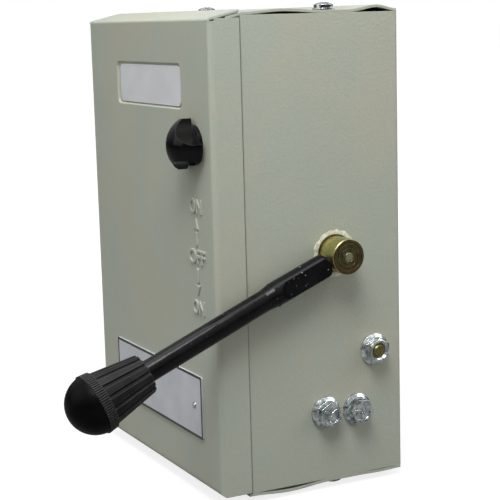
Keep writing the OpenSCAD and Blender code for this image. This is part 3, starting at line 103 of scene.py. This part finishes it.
def make_camera():
    data = bpy.data.cameras.new("camera")
    data.lens = LENS_MM
    data.sensor_width = SENSOR_MM
    data.clip_start = NEAREST
    camera = linked("camera", data)
    turn = Matrix((CAMERA_RIGHT, CAMERA_UP, CAMERA_BACK)).transposed()
    camera.matrix_world = Matrix.Translation(CAMERA_PLACE) @ turn.to_4x4()
    SCENE.camera = camera


# Light and surroundings: the soft room, then what metal mirrors level with it and higher up
AMBIENT = 0.30
AMBIENT_TINT = (0.98, 1.0, 1.0)
ROOM_LOW, ROOM_HIGH, ROOM_HIGH_UP = 0.04, 0.95, 0.80
# Each lamp's place, width and watts
LAMPS = {
    "back_lamp": ((0.40, 0.64, 0.40), 0.50, 1.9),
    "side_lamp": ((0.36, -0.26, 0.56), 0.30, 3.6),
    "top_lamp": ((0.05, -0.20, 0.95), 0.70, 4.4),
    "front_lamp": ((-0.10, -0.95, 0.45), 0.80, 1.8),
}
# How brightly the camera sees the floor near the object and far off, and its grey for all rays
FLOOR_NEAR, FLOOR_FAR, FLOOR_GREY = 0.82, 1.0, 0.25
# Where near ends and far begins, and half the floor's width
FLOOR_FADE = (0.20, 0.60)
FLOOR_REACH = 6.0


def soft_lamp(name, place, aim, width, watts):
    """A square studio lamp that looks at a point."""
    data = bpy.data.lights.new(name, "AREA")
    data.shape = "SQUARE"
    data.size = width
    data.energy = watts
    lamp = linked(name, data)
    lamp.location = place
    lamp.rotation_euler = (Vector(aim) - Vector(place)).to_track_quat("-Z", "Y").to_euler()


def make_lights():
    middle = (CAD_LOW + CAD_HIGH) / 2
    for name, (place, width, watts) in LAMPS.items():
        soft_lamp(name, place, middle, width, watts)


def make_world():
    """White where the camera looks past the object, and a plain soft room everywhere else."""
    world = bpy.data.worlds.new("studio")
    SCENE.world = world
    world.use_nodes = True
    n = Nodes(world.node_tree)
    path = n.node("ShaderNodeLightPath").outputs
    split = n.node("ShaderNodeSeparateXYZ")
    n.join(n.node("ShaderNodeTexCoord").outputs["Generated"], split.inputs[0])
    fall = n.node("ShaderNodeValToRGB")
    stops = fall.color_ramp.elements
    stops[0].position, stops[0].color = 0.0, (ROOM_LOW, ROOM_LOW, ROOM_LOW, 1)
    stops[1].position, stops[1].color = ROOM_HIGH_UP, (ROOM_HIGH, ROOM_HIGH, ROOM_HIGH, 1)
    n.join(split.outputs["Z"], fall.inputs[0])
    mirrored = n.maths("MAXIMUM", path["Is Glossy Ray"], path["Is Transmission Ray"])
    room = n.either(mirrored, n.background(AMBIENT_TINT, AMBIENT), n.background(fall.outputs[0], 1.0))
    seen = n.either(path["Is Camera Ray"], room, n.background((1, 1, 1), 1.0))
    n.join(seen, n.node("ShaderNodeOutputWorld").inputs[0])


def make_floor():
    """A plain white floor that keeps the object's soft shadow."""
    mesh = bpy.data.meshes.new("floor")
    low = CAD_LOW.z
    corners = [(x * FLOOR_REACH, y * FLOOR_REACH, low) for x, y in ((-1, -1), (1, -1), (1, 1), (-1, 1))]
    mesh.from_pydata(corners, [], [(0, 1, 2, 3)])
    floor = linked("floor", mesh)
    f = Finish("floor_white")
    matt = f.node("ShaderNodeBsdfDiffuse")
    matt.inputs["Color"].default_value = (FLOOR_GREY, FLOOR_GREY, FLOOR_GREY, 1)
    white = f.node("ShaderNodeEmission")
    far = f.band(f.distance((0, 0, low), (1, 1, 0)), *FLOOR_FADE, FLOOR_NEAR, FLOOR_FAR)
    seen = f.node("ShaderNodeLightPath").outputs["Is Camera Ray"]
    f.join(f.maths("MULTIPLY", far, seen), white.inputs["Strength"])
    both = f.node("ShaderNodeAddShader")
    f.join(matt.outputs[0], both.inputs[0])
    f.join(white.outputs[0], both.inputs[1])
    f.join(both.outputs[0], f.output.inputs[0])
    mesh.materials.append(f.material)


# Materials
SOCKETS = {"colour": "Base Color", "roughness": "Roughness", "metal": "Metallic", "normal": "Normal",
           "specular": "Specular IOR Level"}
BEVEL_SAMPLES = 4
# A place is wholly an edge where its rounded and plain normals agree no more than this
EDGE_AGREES = 0.85


class Nodes:
    """An emptied node tree, with short calls for its nodes."""

    def __init__(self, tree):
        self.tree = tree
        self.tree.nodes.clear()

    def node(self, kind, **settings):
        made = self.tree.nodes.new(kind)
        for key, value in settings.items():
            setattr(made, key, value)
        return made

    def join(self, output, socket):
        self.tree.links.new(output, socket)

    def put(self, socket, value):
        """Links an output to a socket, or sets the socket to a plain value."""
        if isinstance(value, bpy.types.NodeSocket):
            self.join(value, socket)
        elif isinstance(value, tuple) and len(value) == 3 and socket.type == "RGBA":
            socket.default_value = (*value, 1)
        else:
            socket.default_value = value

    def band(self, value, low, high, start=0.0, end=1.0):
        """start below low, end above high, and a smooth step between them."""
        made = self.node("ShaderNodeMapRange", interpolation_type="SMOOTHSTEP")
        self.put(made.inputs["Value"], value)
        made.inputs["From Min"].default_value = low
        made.inputs["From Max"].default_value = high
        made.inputs["To Min"].default_value = start
        made.inputs["To Max"].default_value = end
        return made.outputs[0]

    def maths(self, operation, first, second=0.0):
        made = self.node("ShaderNodeMath", operation=operation)
        for socket, value in zip(made.inputs, (first, second)):
            self.put(socket, value)
        return made.outputs[0]

    def mix(self, factor, first, second):
        """The first colour where factor is 0, and the second where it is 1."""
        made = self.node("ShaderNodeMix", data_type="RGBA")
        colours = [s for s in made.inputs if s.type == "RGBA"]
        self.put(made.inputs[0], factor)
        self.put(colours[0], first)
        self.put(colours[1], second)
        return next(s for s in made.outputs if s.type == "RGBA")

    def background(self, colour, strength):
        """A shader for the surroundings, as bright as strength."""
        made = self.node("ShaderNodeBackground")
        self.put(made.inputs["Color"], colour)
        made.inputs["Strength"].default_value = strength
        return made.outputs[0]

    def either(self, factor, first, second):
        """The first shader where factor is 0, and the second where it is 1."""
        made = self.node("ShaderNodeMixShader")
        for socket, output in zip(made.inputs, (factor, first, second)):
            self.join(output, socket)
        return made.outputs[0]


class Finish(Nodes):
    """A material's node tree, with the textures and measures that the finishes use."""

    def __init__(self, name):
        self.material = bpy.data.materials.new(name)
        self.material.use_nodes = True
        super().__init__(self.material.node_tree)
        self.output = self.node("ShaderNodeOutputMaterial")
        self.shader = self.node("ShaderNodeBsdfPrincipled")
        self.join(self.shader.outputs[0], self.output.inputs[0])
        self.place = self.node("ShaderNodeTexCoord").outputs["Object"]

    def stretched(self, stretch):
        """The place on the piece, with each axis multiplied; a share under 1 draws texture out along it."""
        scaled = self.node("ShaderNodeVectorMath", operation="MULTIPLY")
        self.join(self.place, scaled.inputs[0])
        scaled.inputs[1].default_value = stretch
        return scaled.outputs[0]

    def noise(self, size, detail=3.0, roughness=0.5, stretch=None):
        """Cloudy noise whose blotches are about size metres across."""
        made = self.node("ShaderNodeTexNoise")
        self.join(self.stretched(stretch) if stretch else self.place, made.inputs["Vector"])
        made.inputs["Scale"].default_value = 1 / size
        made.inputs["Detail"].default_value = detail
        made.inputs["Roughness"].default_value = roughness
        return made.outputs["Fac"]

    def cells(self, size, feature="F1"):
        """The distance within cells of about size metres."""
        made = self.node("ShaderNodeTexVoronoi", feature=feature)
        self.join(self.place, made.inputs["Vector"])
        made.inputs["Scale"].default_value = 1 / size
        return made.outputs["Distance"]

    def axes(self):
        made = self.node("ShaderNodeSeparateXYZ")
        self.join(self.place, made.inputs[0])
        return made.outputs

    def distance(self, centre, shares):
        """The distance from a point, with each axis counted by its share."""
        moved = self.node("ShaderNodeVectorMath", operation="SUBTRACT")
        self.join(self.place, moved.inputs[0])
        moved.inputs[1].default_value = centre
        kept = self.node("ShaderNodeVectorMath", operation="MULTIPLY")
        self.join(moved.outputs[0], kept.inputs[0])
        kept.inputs[1].default_value = shares
        length = self.node("ShaderNodeVectorMath", operation="LENGTH")
        self.join(kept.outputs[0], length.inputs[0])
        return length.outputs["Value"]

    def edges(self, radius):
        """1 on a sharp edge, falling to 0 about radius metres away from it."""
        soft = self.node("ShaderNodeBevel", samples=BEVEL_SAMPLES)
        soft.inputs["Radius"].default_value = radius
        plain = self.node("ShaderNodeNewGeometry")
        dot = self.node("ShaderNodeVectorMath", operation="DOT_PRODUCT")
        self.join(soft.outputs[0], dot.inputs[0])
        self.join(plain.outputs["Normal"], dot.inputs[1])
        return self.band(dot.outputs["Value"], EDGE_AGREES, 1.0, 1.0, 0.0)

    def rounded(self, radius):
        """The surface normal with each sharp edge rounded off by radius metres."""
        made = self.node("ShaderNodeBevel", samples=BEVEL_SAMPLES)
        made.inputs["Radius"].default_value = radius
        return made.outputs[0]

    def bump(self, height, depth, strength, normal=None):
        made = self.node("ShaderNodeBump")
        self.join(height, made.inputs["Height"])
        made.inputs["Distance"].default_value = depth
        made.inputs["Strength"].default_value = strength
        if normal is not None:
            self.join(normal, made.inputs["Normal"])
        return made.outputs[0]

    def set(self, **values):
        """Sets the shader's sockets, by the short names in SOCKETS, and gives the material."""
        for key, value in values.items():
            self.put(self.shader.inputs[SOCKETS[key]], value)
        return self.material


PAINT_WARM = (0.445, 0.448, 0.362)
PAINT_COOL = (0.412, 0.446, 0.378)
BARE_RIM = (0.80, 0.80, 0.70)
# From one lathe ring to the next on the hub's end
RING_PITCH = 0.95 * MM
# Small dark specks on the right side, as (y, z)
SIDE_SPECKS = ((-82.5 * MM, -28 * MM), (-63.5 * MM, -22 * MM), (-48 * MM, -4 * MM))


def paint(name, painted_gap_shade=False):
    """Powder paint pebbled like leather, thin on the edges and a little soiled; when asked, it paints a dark line
    of shade on the side in the gap behind the cover's side flanges."""
    f = Finish(name)
    tint = f.mix(f.band(f.noise(45 * MM), 0.35, 0.65), PAINT_WARM, PAINT_COOL)
    mottle = f.band(f.noise(1.3 * MM, 4, 0.6), 0.3, 0.7)
    tint = f.mix(0.10, tint, f.mix(mottle, (0.34, 0.36, 0.29), (0.50, 0.52, 0.44)))
    speck = f.band(f.cells(9 * MM), 0.012, 0.03, 1.0, 0.0)
    speck = f.maths("MULTIPLY", speck, f.band(f.noise(16 * MM), 0.56, 0.62))
    tint = f.mix(f.maths("MULTIPLY", speck, 0.6), tint, (0.13, 0.11, 0.08))
    rim = f.edges(0.7 * MM)
    thin = f.maths("MULTIPLY", rim, f.band(f.noise(2.5 * MM, 4, 0.7), 0.48, 0.62))
    tint = f.mix(f.maths("MULTIPLY", thin, 0.35), tint, (0.60, 0.60, 0.52))
    for y, z in SIDE_SPECKS:
        spot = f.band(f.distance((SIDE_FACE, y, z), (0.05, 1, 1)), 0.3 * MM, 0.6 * MM, 0.8, 0.0)
        tint = f.mix(spot, tint, (0.10, 0.085, 0.06))
    if painted_gap_shade:
        # Painted shade: a dark line on the side panel, in the narrow gap just behind the cover's side flanges
        gap_shade_band = f.band(f.axes()["Y"], FLANGE_REAR + 0.6 * MM, FLANGE_REAR + 1.3 * MM, 0.85, 0.0)
        on_side = f.band(f.maths("ABSOLUTE", f.axes()["X"]), SIDE_FACE - 0.3 * MM, SIDE_FACE - 0.1 * MM)
        tint = f.mix(f.maths("MULTIPLY", gap_shade_band, on_side), tint, (0.05, 0.05, 0.04))
    fine = f.maths("MULTIPLY", f.noise(0.7 * MM, 3, 0.6), 0.6)
    peel = f.maths("ADD", f.cells(1.15 * MM, "SMOOTH_F1"), fine)
    depth = f.band(f.axes()["Y"], FRONT_FACE + 0.3 * MM, FRONT_FACE + 2.5 * MM, 0.35, 1.0)
    rough = f.band(f.noise(20 * MM, 5, 0.6), 0.3, 0.7, 0.36, 0.48)
    return f.set(colour=tint, roughness=rough, specular=0.45,
                 normal=f.bump(f.maths("MULTIPLY", peel, depth), 0.12 * MM, 0.8, f.rounded(0.35 * MM)))


def zinc(name, light=(0.78, 0.82, 0.83), dark=(0.22, 0.26, 0.27)):
    """Bright plating: clouded, finely scratched, with a painted highlight lightening its edges."""
    f = Finish(name)
    cloud = f.band(f.noise(2.6 * MM, 5, 0.65), 0.38, 0.62)
    tint = f.mix(cloud, dark, light)
    # Painted highlight: every edge lightened towards white
    tint = f.mix(f.edges(0.30 * MM), tint, (0.96, 0.97, 0.98))
    dull = f.band(f.noise(1.4 * MM, 5, 0.7), 0.35, 0.7, 0.10, 0.22)
    scratch = f.noise(0.25 * MM, 3, 0.6, stretch=(1, 1, 0.12))
    return f.set(colour=tint, metal=1.0, roughness=dull,
                 normal=f.bump(scratch, 0.012 * MM, 0.5, f.rounded(0.15 * MM)))


def yellow_zinc(name, turned=None, soiled_share=0.0):
    """Yellow passivated plating with its green and pink bloom; turned gives the axis of lathe rings on the hub's
    end, whose colour is painted with a dark reflection and a glint.
    """
    f = Finish(name)
    gold = f.mix(f.band(f.noise(3.0 * MM, 4, 0.6), 0.35, 0.65), (0.50, 0.41, 0.12), (0.38, 0.40, 0.15))
    tint = f.mix(f.band(f.noise(1.6 * MM, 4, 0.7), 0.50, 0.68), gold, (0.44, 0.30, 0.22))
    tint = f.mix(f.maths("MULTIPLY", f.edges(0.4 * MM), 0.7), tint, (0.72, 0.66, 0.40))
    tint = f.mix(f.band(f.noise(1.2 * MM, 4, 0.7), 0.3, 0.6, soiled_share, soiled_share / 2), tint,
                 (0.06, 0.05, 0.03))
    dull = f.band(f.noise(0.8 * MM, 5, 0.7), 0.35, 0.7, 0.26, 0.46)
    grain = f.noise(0.3 * MM, 3, 0.6)
    if turned is not None:
        # The hub's end: darkened as a painted dark reflection, with lighter rings at the lathe grooves, a painted
        # glint in the middle, reddish lower down
        off_axis = f.distance(turned, (0, 1, 1))
        rings = f.maths("SINE", f.maths("MULTIPLY", off_axis, 2 * math.pi / RING_PITCH))
        end = f.band(f.axes()["X"], HUB_END - 0.5 * MM, HUB_END - 0.2 * MM)
        # Painted dark reflection: two dark tones mixed by noise over the end face
        worn = f.band(f.noise(2.4 * MM, 4, 0.6), 0.40, 0.62)
        painted_end_reflection = f.mix(worn, (0.018, 0.014, 0.008), (0.085, 0.072, 0.032))
        streaks = f.noise(0.9 * MM, 4, 0.8, stretch=(1, 1.6, 0.5))
        centre = f.band(f.maths("ADD", off_axis, f.maths("MULTIPLY", streaks, 6 * MM)),
                        4.6 * MM, 5.4 * MM, 1.0, 0.0)
        # Painted glint: a pale patch in the middle of the end
        painted_end_reflection = f.mix(centre, painted_end_reflection, (0.50, 0.51, 0.34))
        groove = f.band(rings, 0.1, 0.8, 0.0, 0.6)
        painted_end_reflection = f.mix(groove, painted_end_reflection, (0.27, 0.23, 0.12))
        red = f.band(f.axes()["Z"], -7 * MM, -2 * MM, 0.5, 0.0)
        painted_end_reflection = f.mix(red, painted_end_reflection, (0.10, 0.035, 0.02))
        tint = f.mix(f.maths("MULTIPLY", end, 0.9), tint, painted_end_reflection)
        cut = f.maths("MULTIPLY", f.maths("MULTIPLY", rings, end), 0.8)
        grain = f.maths("ADD", grain, cut)
    return f.set(colour=tint, metal=0.95, roughness=dull,
                 normal=f.bump(grain, 0.03 * MM, 0.5, f.rounded(0.2 * MM)))


def plain_steel(name):
    """Bare rolled steel, rusting here and there along its edges."""
    f = Finish(name)
    tint = f.mix(f.band(f.noise(4 * MM, 5, 0.65), 0.35, 0.65), (0.30, 0.30, 0.29), (0.46, 0.46, 0.45))
    rust = f.maths("MULTIPLY", f.edges(0.6 * MM), f.band(f.noise(2.0 * MM, 5, 0.7), 0.55, 0.70))
    tint = f.mix(rust, tint, (0.20, 0.10, 0.05))
    dull = f.band(f.noise(1.5 * MM, 4, 0.6), 0.3, 0.7, 0.34, 0.52)
    grain = f.noise(0.35 * MM, 3, 0.6, stretch=(1, 0.2, 1))
    return f.set(colour=tint, metal=0.95, roughness=dull,
                 normal=f.bump(grain, 0.02 * MM, 0.5, f.rounded(0.2 * MM)))


def black_paint(name):
    """Dipped gloss black on the rod, with chips and pale specks near the hub."""
    f = Finish(name)
    tint = f.mix(f.band(f.noise(8 * MM, 4), 0.35, 0.65), (0.0025, 0.0025, 0.003), (0.005, 0.005, 0.006))
    speck = f.band(f.cells(2.4 * MM), 0.10, 0.18, 1.0, 0.0)
    patch = f.band(f.noise(5 * MM, 3), 0.54, 0.60)
    near_hub = f.band(f.distance(HANDLE_AXIS, (0, 1, 1)), 20 * MM, 30 * MM, 1.0, 0.12)
    chips = f.maths("MULTIPLY", f.maths("MULTIPLY", speck, patch), near_hub)
    tint = f.mix(chips, tint, (0.42, 0.42, 0.42))
    flow = f.noise(5 * MM, 2, 0.4, stretch=(1, 0.5, 0.5))
    dull = f.band(f.noise(3 * MM, 5, 0.7), 0.35, 0.75, 0.10, 0.24)
    return f.set(colour=tint, roughness=dull, specular=0.17,
                 normal=f.bump(flow, 0.25 * MM, 0.6, f.rounded(0.3 * MM)))


def black_plastic(name, worn=(0.020, 0.020, 0.021), dust=0.0015, dull_low=0.28, dull_high=0.42,
                  shine=0.06):
    """Moulded black plastic with a fine grain, handled smooth on its edges, which take the worn colour: dust, and
    on the fluted grip also a painted highlight on the ridges.
    """
    f = Finish(name)
    tint = f.mix(f.band(f.noise(7 * MM, 4), 0.35, 0.65), (dust,) * 3, (2 * dust,) * 3)
    # Edges take the worn colour: dust, and where it is light, a painted highlight too
    tint = f.mix(f.maths("MULTIPLY", f.edges(0.5 * MM), 0.6), tint, worn)
    dull = f.band(f.noise(1.8 * MM, 5, 0.7), 0.3, 0.7, dull_low, dull_high)
    grain = f.noise(0.5 * MM, 4, 0.6)
    return f.set(colour=tint, roughness=dull, specular=shine,
                 normal=f.bump(grain, 0.02 * MM, 0.5, f.rounded(0.25 * MM)))


def label(name, light, dark, metal, smooth):
    """Printed foil: a smooth face with a faint brushed grain."""
    f = Finish(name)
    tint = f.mix(f.band(f.noise(14 * MM, 4), 0.3, 0.7), dark, light)
    soil = f.band(f.noise(1.2 * MM, 5, 0.8), 0.64, 0.74)
    tint = f.mix(f.maths("MULTIPLY", soil, 0.18), tint, (0.20, 0.20, 0.20))
    dull = f.band(f.noise(5 * MM, 4), 0.3, 0.7, smooth, smooth + 0.10)
    grain = f.noise(0.3 * MM, 2, 0.5, stretch=(0.1, 1, 1))
    return f.set(colour=tint, metal=metal, roughness=dull,
                 normal=f.bump(grain, 0.006 * MM, 0.4, f.rounded(0.1 * MM)))


def moulding(name, light, dark, smooth):
    """A pressed moulding with a swirled body colour."""
    f = Finish(name)
    tint = f.mix(f.band(f.noise(12 * MM, 6, 0.7), 0.35, 0.65), dark, light)
    tint = f.mix(f.maths("MULTIPLY", f.edges(0.5 * MM), 0.4), tint, tuple(1.7 * c for c in light))
    dull = f.band(f.noise(3 * MM, 4), 0.3, 0.7, smooth, smooth + 0.14)
    grain = f.noise(0.6 * MM, 4, 0.6)
    return f.set(colour=tint, roughness=dull,
                 normal=f.bump(grain, 0.03 * MM, 0.5, f.rounded(0.3 * MM)))


def board(name):
    """Laminated board with its paper fibres."""
    f = Finish(name)
    fibre = f.noise(0.5 * MM, 5, 0.7, stretch=(1, 0.15, 1))
    tint = f.mix(f.band(fibre, 0.3, 0.7), (0.22, 0.15, 0.09), (0.36, 0.26, 0.17))
    return f.set(colour=tint, roughness=f.band(fibre, 0.3, 0.7, 0.55, 0.75),
                 normal=f.bump(fibre, 0.03 * MM, 0.6, f.rounded(0.2 * MM)))


def bright_metal(name, light, dark, tarnish):
    """Copper or brass: bright where it rubs, darker in patches."""
    f = Finish(name)
    tint = f.mix(f.band(f.noise(5 * MM, 5, 0.65), 0.35, 0.65), dark, light)
    tint = f.mix(f.band(f.noise(9 * MM, 4, 0.6), 0.55, 0.75, 0.0, 0.7), tint, tarnish)
    tint = f.mix(f.maths("MULTIPLY", f.edges(0.4 * MM), 0.5), tint, tuple(min(1, 1.2 * c) for c in light))
    dull = f.band(f.noise(1.6 * MM, 5, 0.7), 0.3, 0.7, 0.24, 0.42)
    grain = f.noise(0.3 * MM, 3, 0.6, stretch=(1, 1, 0.15))
    return f.set(colour=tint, metal=1.0, roughness=dull,
                 normal=f.bump(grain, 0.015 * MM, 0.5, f.rounded(0.15 * MM)))


def make_finishes():
    """Each finish by the record's slot; the nodes named apart have one of their own."""
    by_slot = {
        "paint": paint("paint"),
        "label_metal": label("label_metal", (0.66, 0.68, 0.71), (0.59, 0.61, 0.64), 0.20, 0.38),
        "white_zinc": zinc("white_zinc"),
        "yellow_zinc": yellow_zinc("yellow_zinc"),
        "plain_steel": plain_steel("plain_steel"),
        "black_paint": black_paint("black_paint"),
        "black_plastic": black_plastic("black_plastic"),
        "brown_moulding": moulding("brown_moulding", (0.085, 0.040, 0.026), (0.050, 0.024, 0.016), 0.34),
        "barrier_board": board("barrier_board"),
        "copper": bright_metal("copper", (0.80, 0.42, 0.27), (0.62, 0.30, 0.18), (0.30, 0.15, 0.10)),
        "brass": bright_metal("brass", (0.78, 0.60, 0.28), (0.62, 0.46, 0.20), (0.32, 0.24, 0.12)),
    }
    by_node = {
        # The body's paint also carries the painted shade in the gap behind the cover's side flanges
        "body_shell": paint("body_paint", painted_gap_shade=True),
        "badge_plate": label("badge_foil", (0.70, 0.71, 0.72), (0.64, 0.65, 0.66), 0.0, 0.30),
        # The fluted grip's pale grey ridges: partly dust, partly a painted highlight
        "grip_cone": black_plastic("fluted_plastic", (0.12, 0.12, 0.125), 0.007, 0.34, 0.48, 0.13),
        "latch_knob": black_plastic("knob_plastic", dull_low=0.10, dull_high=0.20, shine=0.20),
        "hub_shaft": yellow_zinc("turned_hub", turned=HANDLE_AXIS),
        "stop_bolt": yellow_zinc("bolt_yellow_zinc", soiled_share=0.8),
        "stop_bolt_nut": zinc("nut_white_zinc", light=(0.90, 0.94, 0.94), dark=(0.34, 0.38, 0.39)),
    }
    return by_slot, by_node


def dress_nodes(by_slot, by_node):
    """Gives each piece of the frame its own finish, or else its slot's."""
    slots = {s["node"]: s["material_slot"] for s in frame["record"]["subparts"]}
    for name, piece in frame["nodes"].items():
        finish = by_node.get(name, by_slot[slots[name]])
        if not piece.data.materials:
            piece.data.materials.append(finish)
        for holder in piece.material_slots:
            holder.material = finish


# Pressed marks beside the knob
MARK_CENTRE_X = 51.8 * MM
MARK_RAISE, MARK_SUNK = 0.7 * MM, 0.3 * MM
LETTER_HEIGHT = 7.0 * MM
# How much the letters' strokes swell and how deep they are, as a share of the font's size
STROKE_GROWTH, STROKE_DEPTH = 0.035, 0.05
MARK_VOXEL = 0.18 * MM
MARK_ROUNDS, MARK_ROUNDING = 14, 0.6
BAR_END_STEPS = 8


def soften(piece):
    """Closes the piece's mesh and rounds it like a pressing."""
    remesh = piece.modifiers.new("close", "REMESH")
    remesh.mode = "VOXEL"
    remesh.voxel_size = MARK_VOXEL
    smooth = piece.modifiers.new("round", "SMOOTH")
    smooth.factor = MARK_ROUNDING
    smooth.iterations = MARK_ROUNDS
    bpy.context.view_layer.update()
    finished = bpy.data.meshes.new_from_object(
        piece.evaluated_get(bpy.context.evaluated_depsgraph_get()))
    piece.modifiers.clear()
    piece.data = finished
    for face in finished.polygons:
        face.use_smooth = True


def on_cover(piece, finish):
    piece.data.materials.clear()
    piece.data.materials.append(finish)
    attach(piece, "cover")


def plate_piece(name, outline):
    """A flat closed plate with this outline (x, z), raised from the cover's face."""
    work = bmesh.new()
    back = [work.verts.new((x, FRONT_FACE + MARK_SUNK, z)) for x, z in outline]
    lid = work.faces.new(back)
    moved = bmesh.ops.extrude_face_region(work, geom=[lid])
    front = [v for v in moved["geom"] if isinstance(v, bmesh.types.BMVert)]
    bmesh.ops.translate(work, vec=(0, -(MARK_RAISE + MARK_SUNK), 0), verts=front)
    return linked(name, meshed(name, work))


def word(name, text, centre_z, width):
    """Raised letters, as wide as the pressing in the cover."""
    curve = bpy.data.curves.new(name + "_outline", "FONT")
    curve.body = text
    curve.align_x = "CENTER"
    curve.align_y = "CENTER"
    curve.size = 1.0
    curve.extrude = STROKE_DEPTH
    curve.offset = STROKE_GROWTH
    holder = linked(name + "_outline", curve)
    bpy.context.view_layer.update()
    mesh = bpy.data.meshes.new_from_object(holder)
    bpy.data.objects.remove(holder)
    low = [min(v.co[i] for v in mesh.vertices) for i in range(3)]
    high = [max(v.co[i] for v in mesh.vertices) for i in range(3)]
    grow = (width / (high[0] - low[0]), LETTER_HEIGHT / (high[1] - low[1]),
            (MARK_RAISE + MARK_SUNK) / (high[2] - low[2]))
    for v in mesh.vertices:
        x, y, z = ((v.co[i] - (low[i] + high[i]) / 2) * grow[i] for i in range(3))
        v.co = (MARK_CENTRE_X + x, FRONT_FACE - z - (MARK_RAISE - MARK_SUNK) / 2, centre_z + y)
    return linked(name, mesh)


def rounded_bar(name, centre_z, length, width):
    """A short upright line with round ends."""
    outline = []
    for end in (1, -1):
        for step in range(BAR_END_STEPS + 1):
            turn = math.pi * step / BAR_END_STEPS + (0 if end == 1 else math.pi)
            outline.append((MARK_CENTRE_X + width / 2 * math.cos(turn),
                            centre_z + end * (length - width) / 2 + width / 2 * math.sin(turn)))
    return plate_piece(name, outline)


def arrow_head(name, centre_z, width, height, way):
    """A triangle that points up where way is 1, and down where it is -1."""
    tip = centre_z + way * height / 2
    foot = centre_z - way * height / 2
    outline = [(MARK_CENTRE_X - width / 2, foot), (MARK_CENTRE_X + width / 2, foot), (MARK_CENTRE_X, tip)]
    return plate_piece(name, outline[::way])


def make_marks(finish):
    """ON, OFF, ON from the top down, with an arrow from OFF towards each ON."""
    # Words: centre and width. Arrow heads: centre, width, height, way. Lines: centre, length, width
    pieces = [
        word("mark_on_upper", "ON", 23.6 * MM, 12.2 * MM),
        arrow_head("mark_arrow_up", 16.0 * MM, 4.6 * MM, 5.4 * MM, 1),
        rounded_bar("mark_line_up", 9.0 * MM, 7.2 * MM, 2.1 * MM),
        word("mark_off", "OFF", 1.0 * MM, 16.6 * MM),
        rounded_bar("mark_line_down", -7.4 * MM, 7.4 * MM, 2.1 * MM),
        arrow_head("mark_arrow_down", -14.2 * MM, 4.6 * MM, 5.2 * MM, -1),
        word("mark_on_lower", "ON", -21.8 * MM, 11.8 * MM),
    ]
    for piece in pieces:
        soften(piece)
        on_cover(piece, finish)


# Paint broken away round the hub
CHIP_INNER, CHIP_OUTER, CHIP_RAGGED = 8.8 * MM, 11.0 * MM, 1.25 * MM
CHIP_RAISE, CHIP_SUNK = 0.3 * MM, 0.3 * MM
CHIP_STEPS = 180
# How many times each wave of the ragged edge goes round
CHIP_WAVES = range(2, 24)
CHIP_SEED = 7


def make_chipped_ring():
    """A low ragged ring of broken paint on the side, round the hole for the hub."""
    seeded = random.Random(CHIP_SEED)
    waves = [(n, seeded.uniform(0.2, 1.0) / n ** 0.5, seeded.uniform(0, 2 * math.pi)) for n in CHIP_WAVES]
    total = sum(size for _, size, _ in waves)
    work = bmesh.new()
    rings = []
    for step in range(CHIP_STEPS):
        turn = 2 * math.pi * step / CHIP_STEPS
        wave = sum(size * math.sin(n * turn + start) for n, size, start in waves) / total
        outer = CHIP_OUTER + CHIP_RAGGED * wave
        height = CHIP_RAISE * (0.75 + wave)
        # Each point's distance from the axis and its height over the side
        profile = ((CHIP_INNER, -CHIP_SUNK), (CHIP_INNER, 0.6 * height), (CHIP_INNER + 0.5 * MM, height),
                   ((CHIP_INNER + outer) / 2, 0.8 * height), (outer - 0.4 * MM, 0.6 * height),
                   (outer, -CHIP_SUNK))
        rings.append([work.verts.new((SIDE_FACE + up, HANDLE_AXIS.y + r * math.cos(turn),
                                      HANDLE_AXIS.z + r * math.sin(turn))) for r, up in profile])
    for this, following in zip(rings, rings[1:] + rings[:1]):
        count = len(this)
        for i in range(count):
            work.faces.new((this[i], following[i], following[(i + 1) % count], this[(i + 1) % count]))
    mesh = meshed("chipped_ring", work)
    f = Finish("chipped_paint")
    tint = f.mix(f.band(f.noise(1.2 * MM, 4, 0.7), 0.40, 0.58), BARE_RIM, (0.58, 0.58, 0.48))
    grain = f.noise(0.6 * MM, 4, 0.7)
    mesh.materials.append(f.set(colour=tint, roughness=f.band(f.noise(1 * MM), 0.3, 0.7, 0.5, 0.7),
                                normal=f.bump(grain, 0.12 * MM, 0.8)))
    piece = linked("chipped_ring", mesh)
    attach(piece, "enclosure")


# Printed frame round the rating plate
FRAME_WIDTH = 1.2 * MM
FRAME_PROUD = 0.04 * MM


def make_plate_frame():
    """The dark line printed along the edge of the rating plate."""
    f = Finish("frame_ink")
    tint = f.mix(f.band(f.noise(3 * MM, 4), 0.3, 0.7), (0.030, 0.036, 0.036), (0.060, 0.066, 0.062))
    worn = f.band(f.noise(0.8 * MM, 4, 0.7), 0.62, 0.72)
    tint = f.mix(f.maths("MULTIPLY", worn, 0.4), tint, (0.22, 0.23, 0.23))
    finish = f.set(colour=tint, roughness=f.band(f.noise(2 * MM), 0.3, 0.7, 0.4, 0.55),
                   normal=f.bump(f.noise(0.4 * MM), 0.005 * MM, 0.5))
    low, high = PLATE_LOW, PLATE_HIGH
    outer = [(low.x, low.z), (high.x, low.z), (high.x, high.z), (low.x, high.z)]
    inner = [(low.x + FRAME_WIDTH, low.z + FRAME_WIDTH), (high.x - FRAME_WIDTH, low.z + FRAME_WIDTH),
             (high.x - FRAME_WIDTH, high.z - FRAME_WIDTH), (low.x + FRAME_WIDTH, high.z - FRAME_WIDTH)]
    work = bmesh.new()
    front, back = low.y - FRAME_PROUD, low.y + FRAME_PROUD
    rings = [[work.verts.new((x, y, z)) for x, z in loop]
             for y, loop in ((front, outer), (front, inner), (back, inner), (back, outer))]
    for this, following in zip(rings, rings[1:] + rings[:1]):
        for i in range(4):
            work.faces.new((this[i], this[(i + 1) % 4], following[(i + 1) % 4], following[i]))
    mesh = meshed("rating_plate_frame", work)
    mesh.materials.append(finish)
    piece = linked("rating_plate_frame", mesh)
    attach(piece, "cover")


SCENE.view_settings.view_transform = "Standard"
make_camera()
make_world()
make_lights()
make_floor()
finishes, own_finishes = make_finishes()
dress_nodes(finishes, own_finishes)
make_marks(finishes["paint"])
make_chipped_ring()
make_plate_frame()
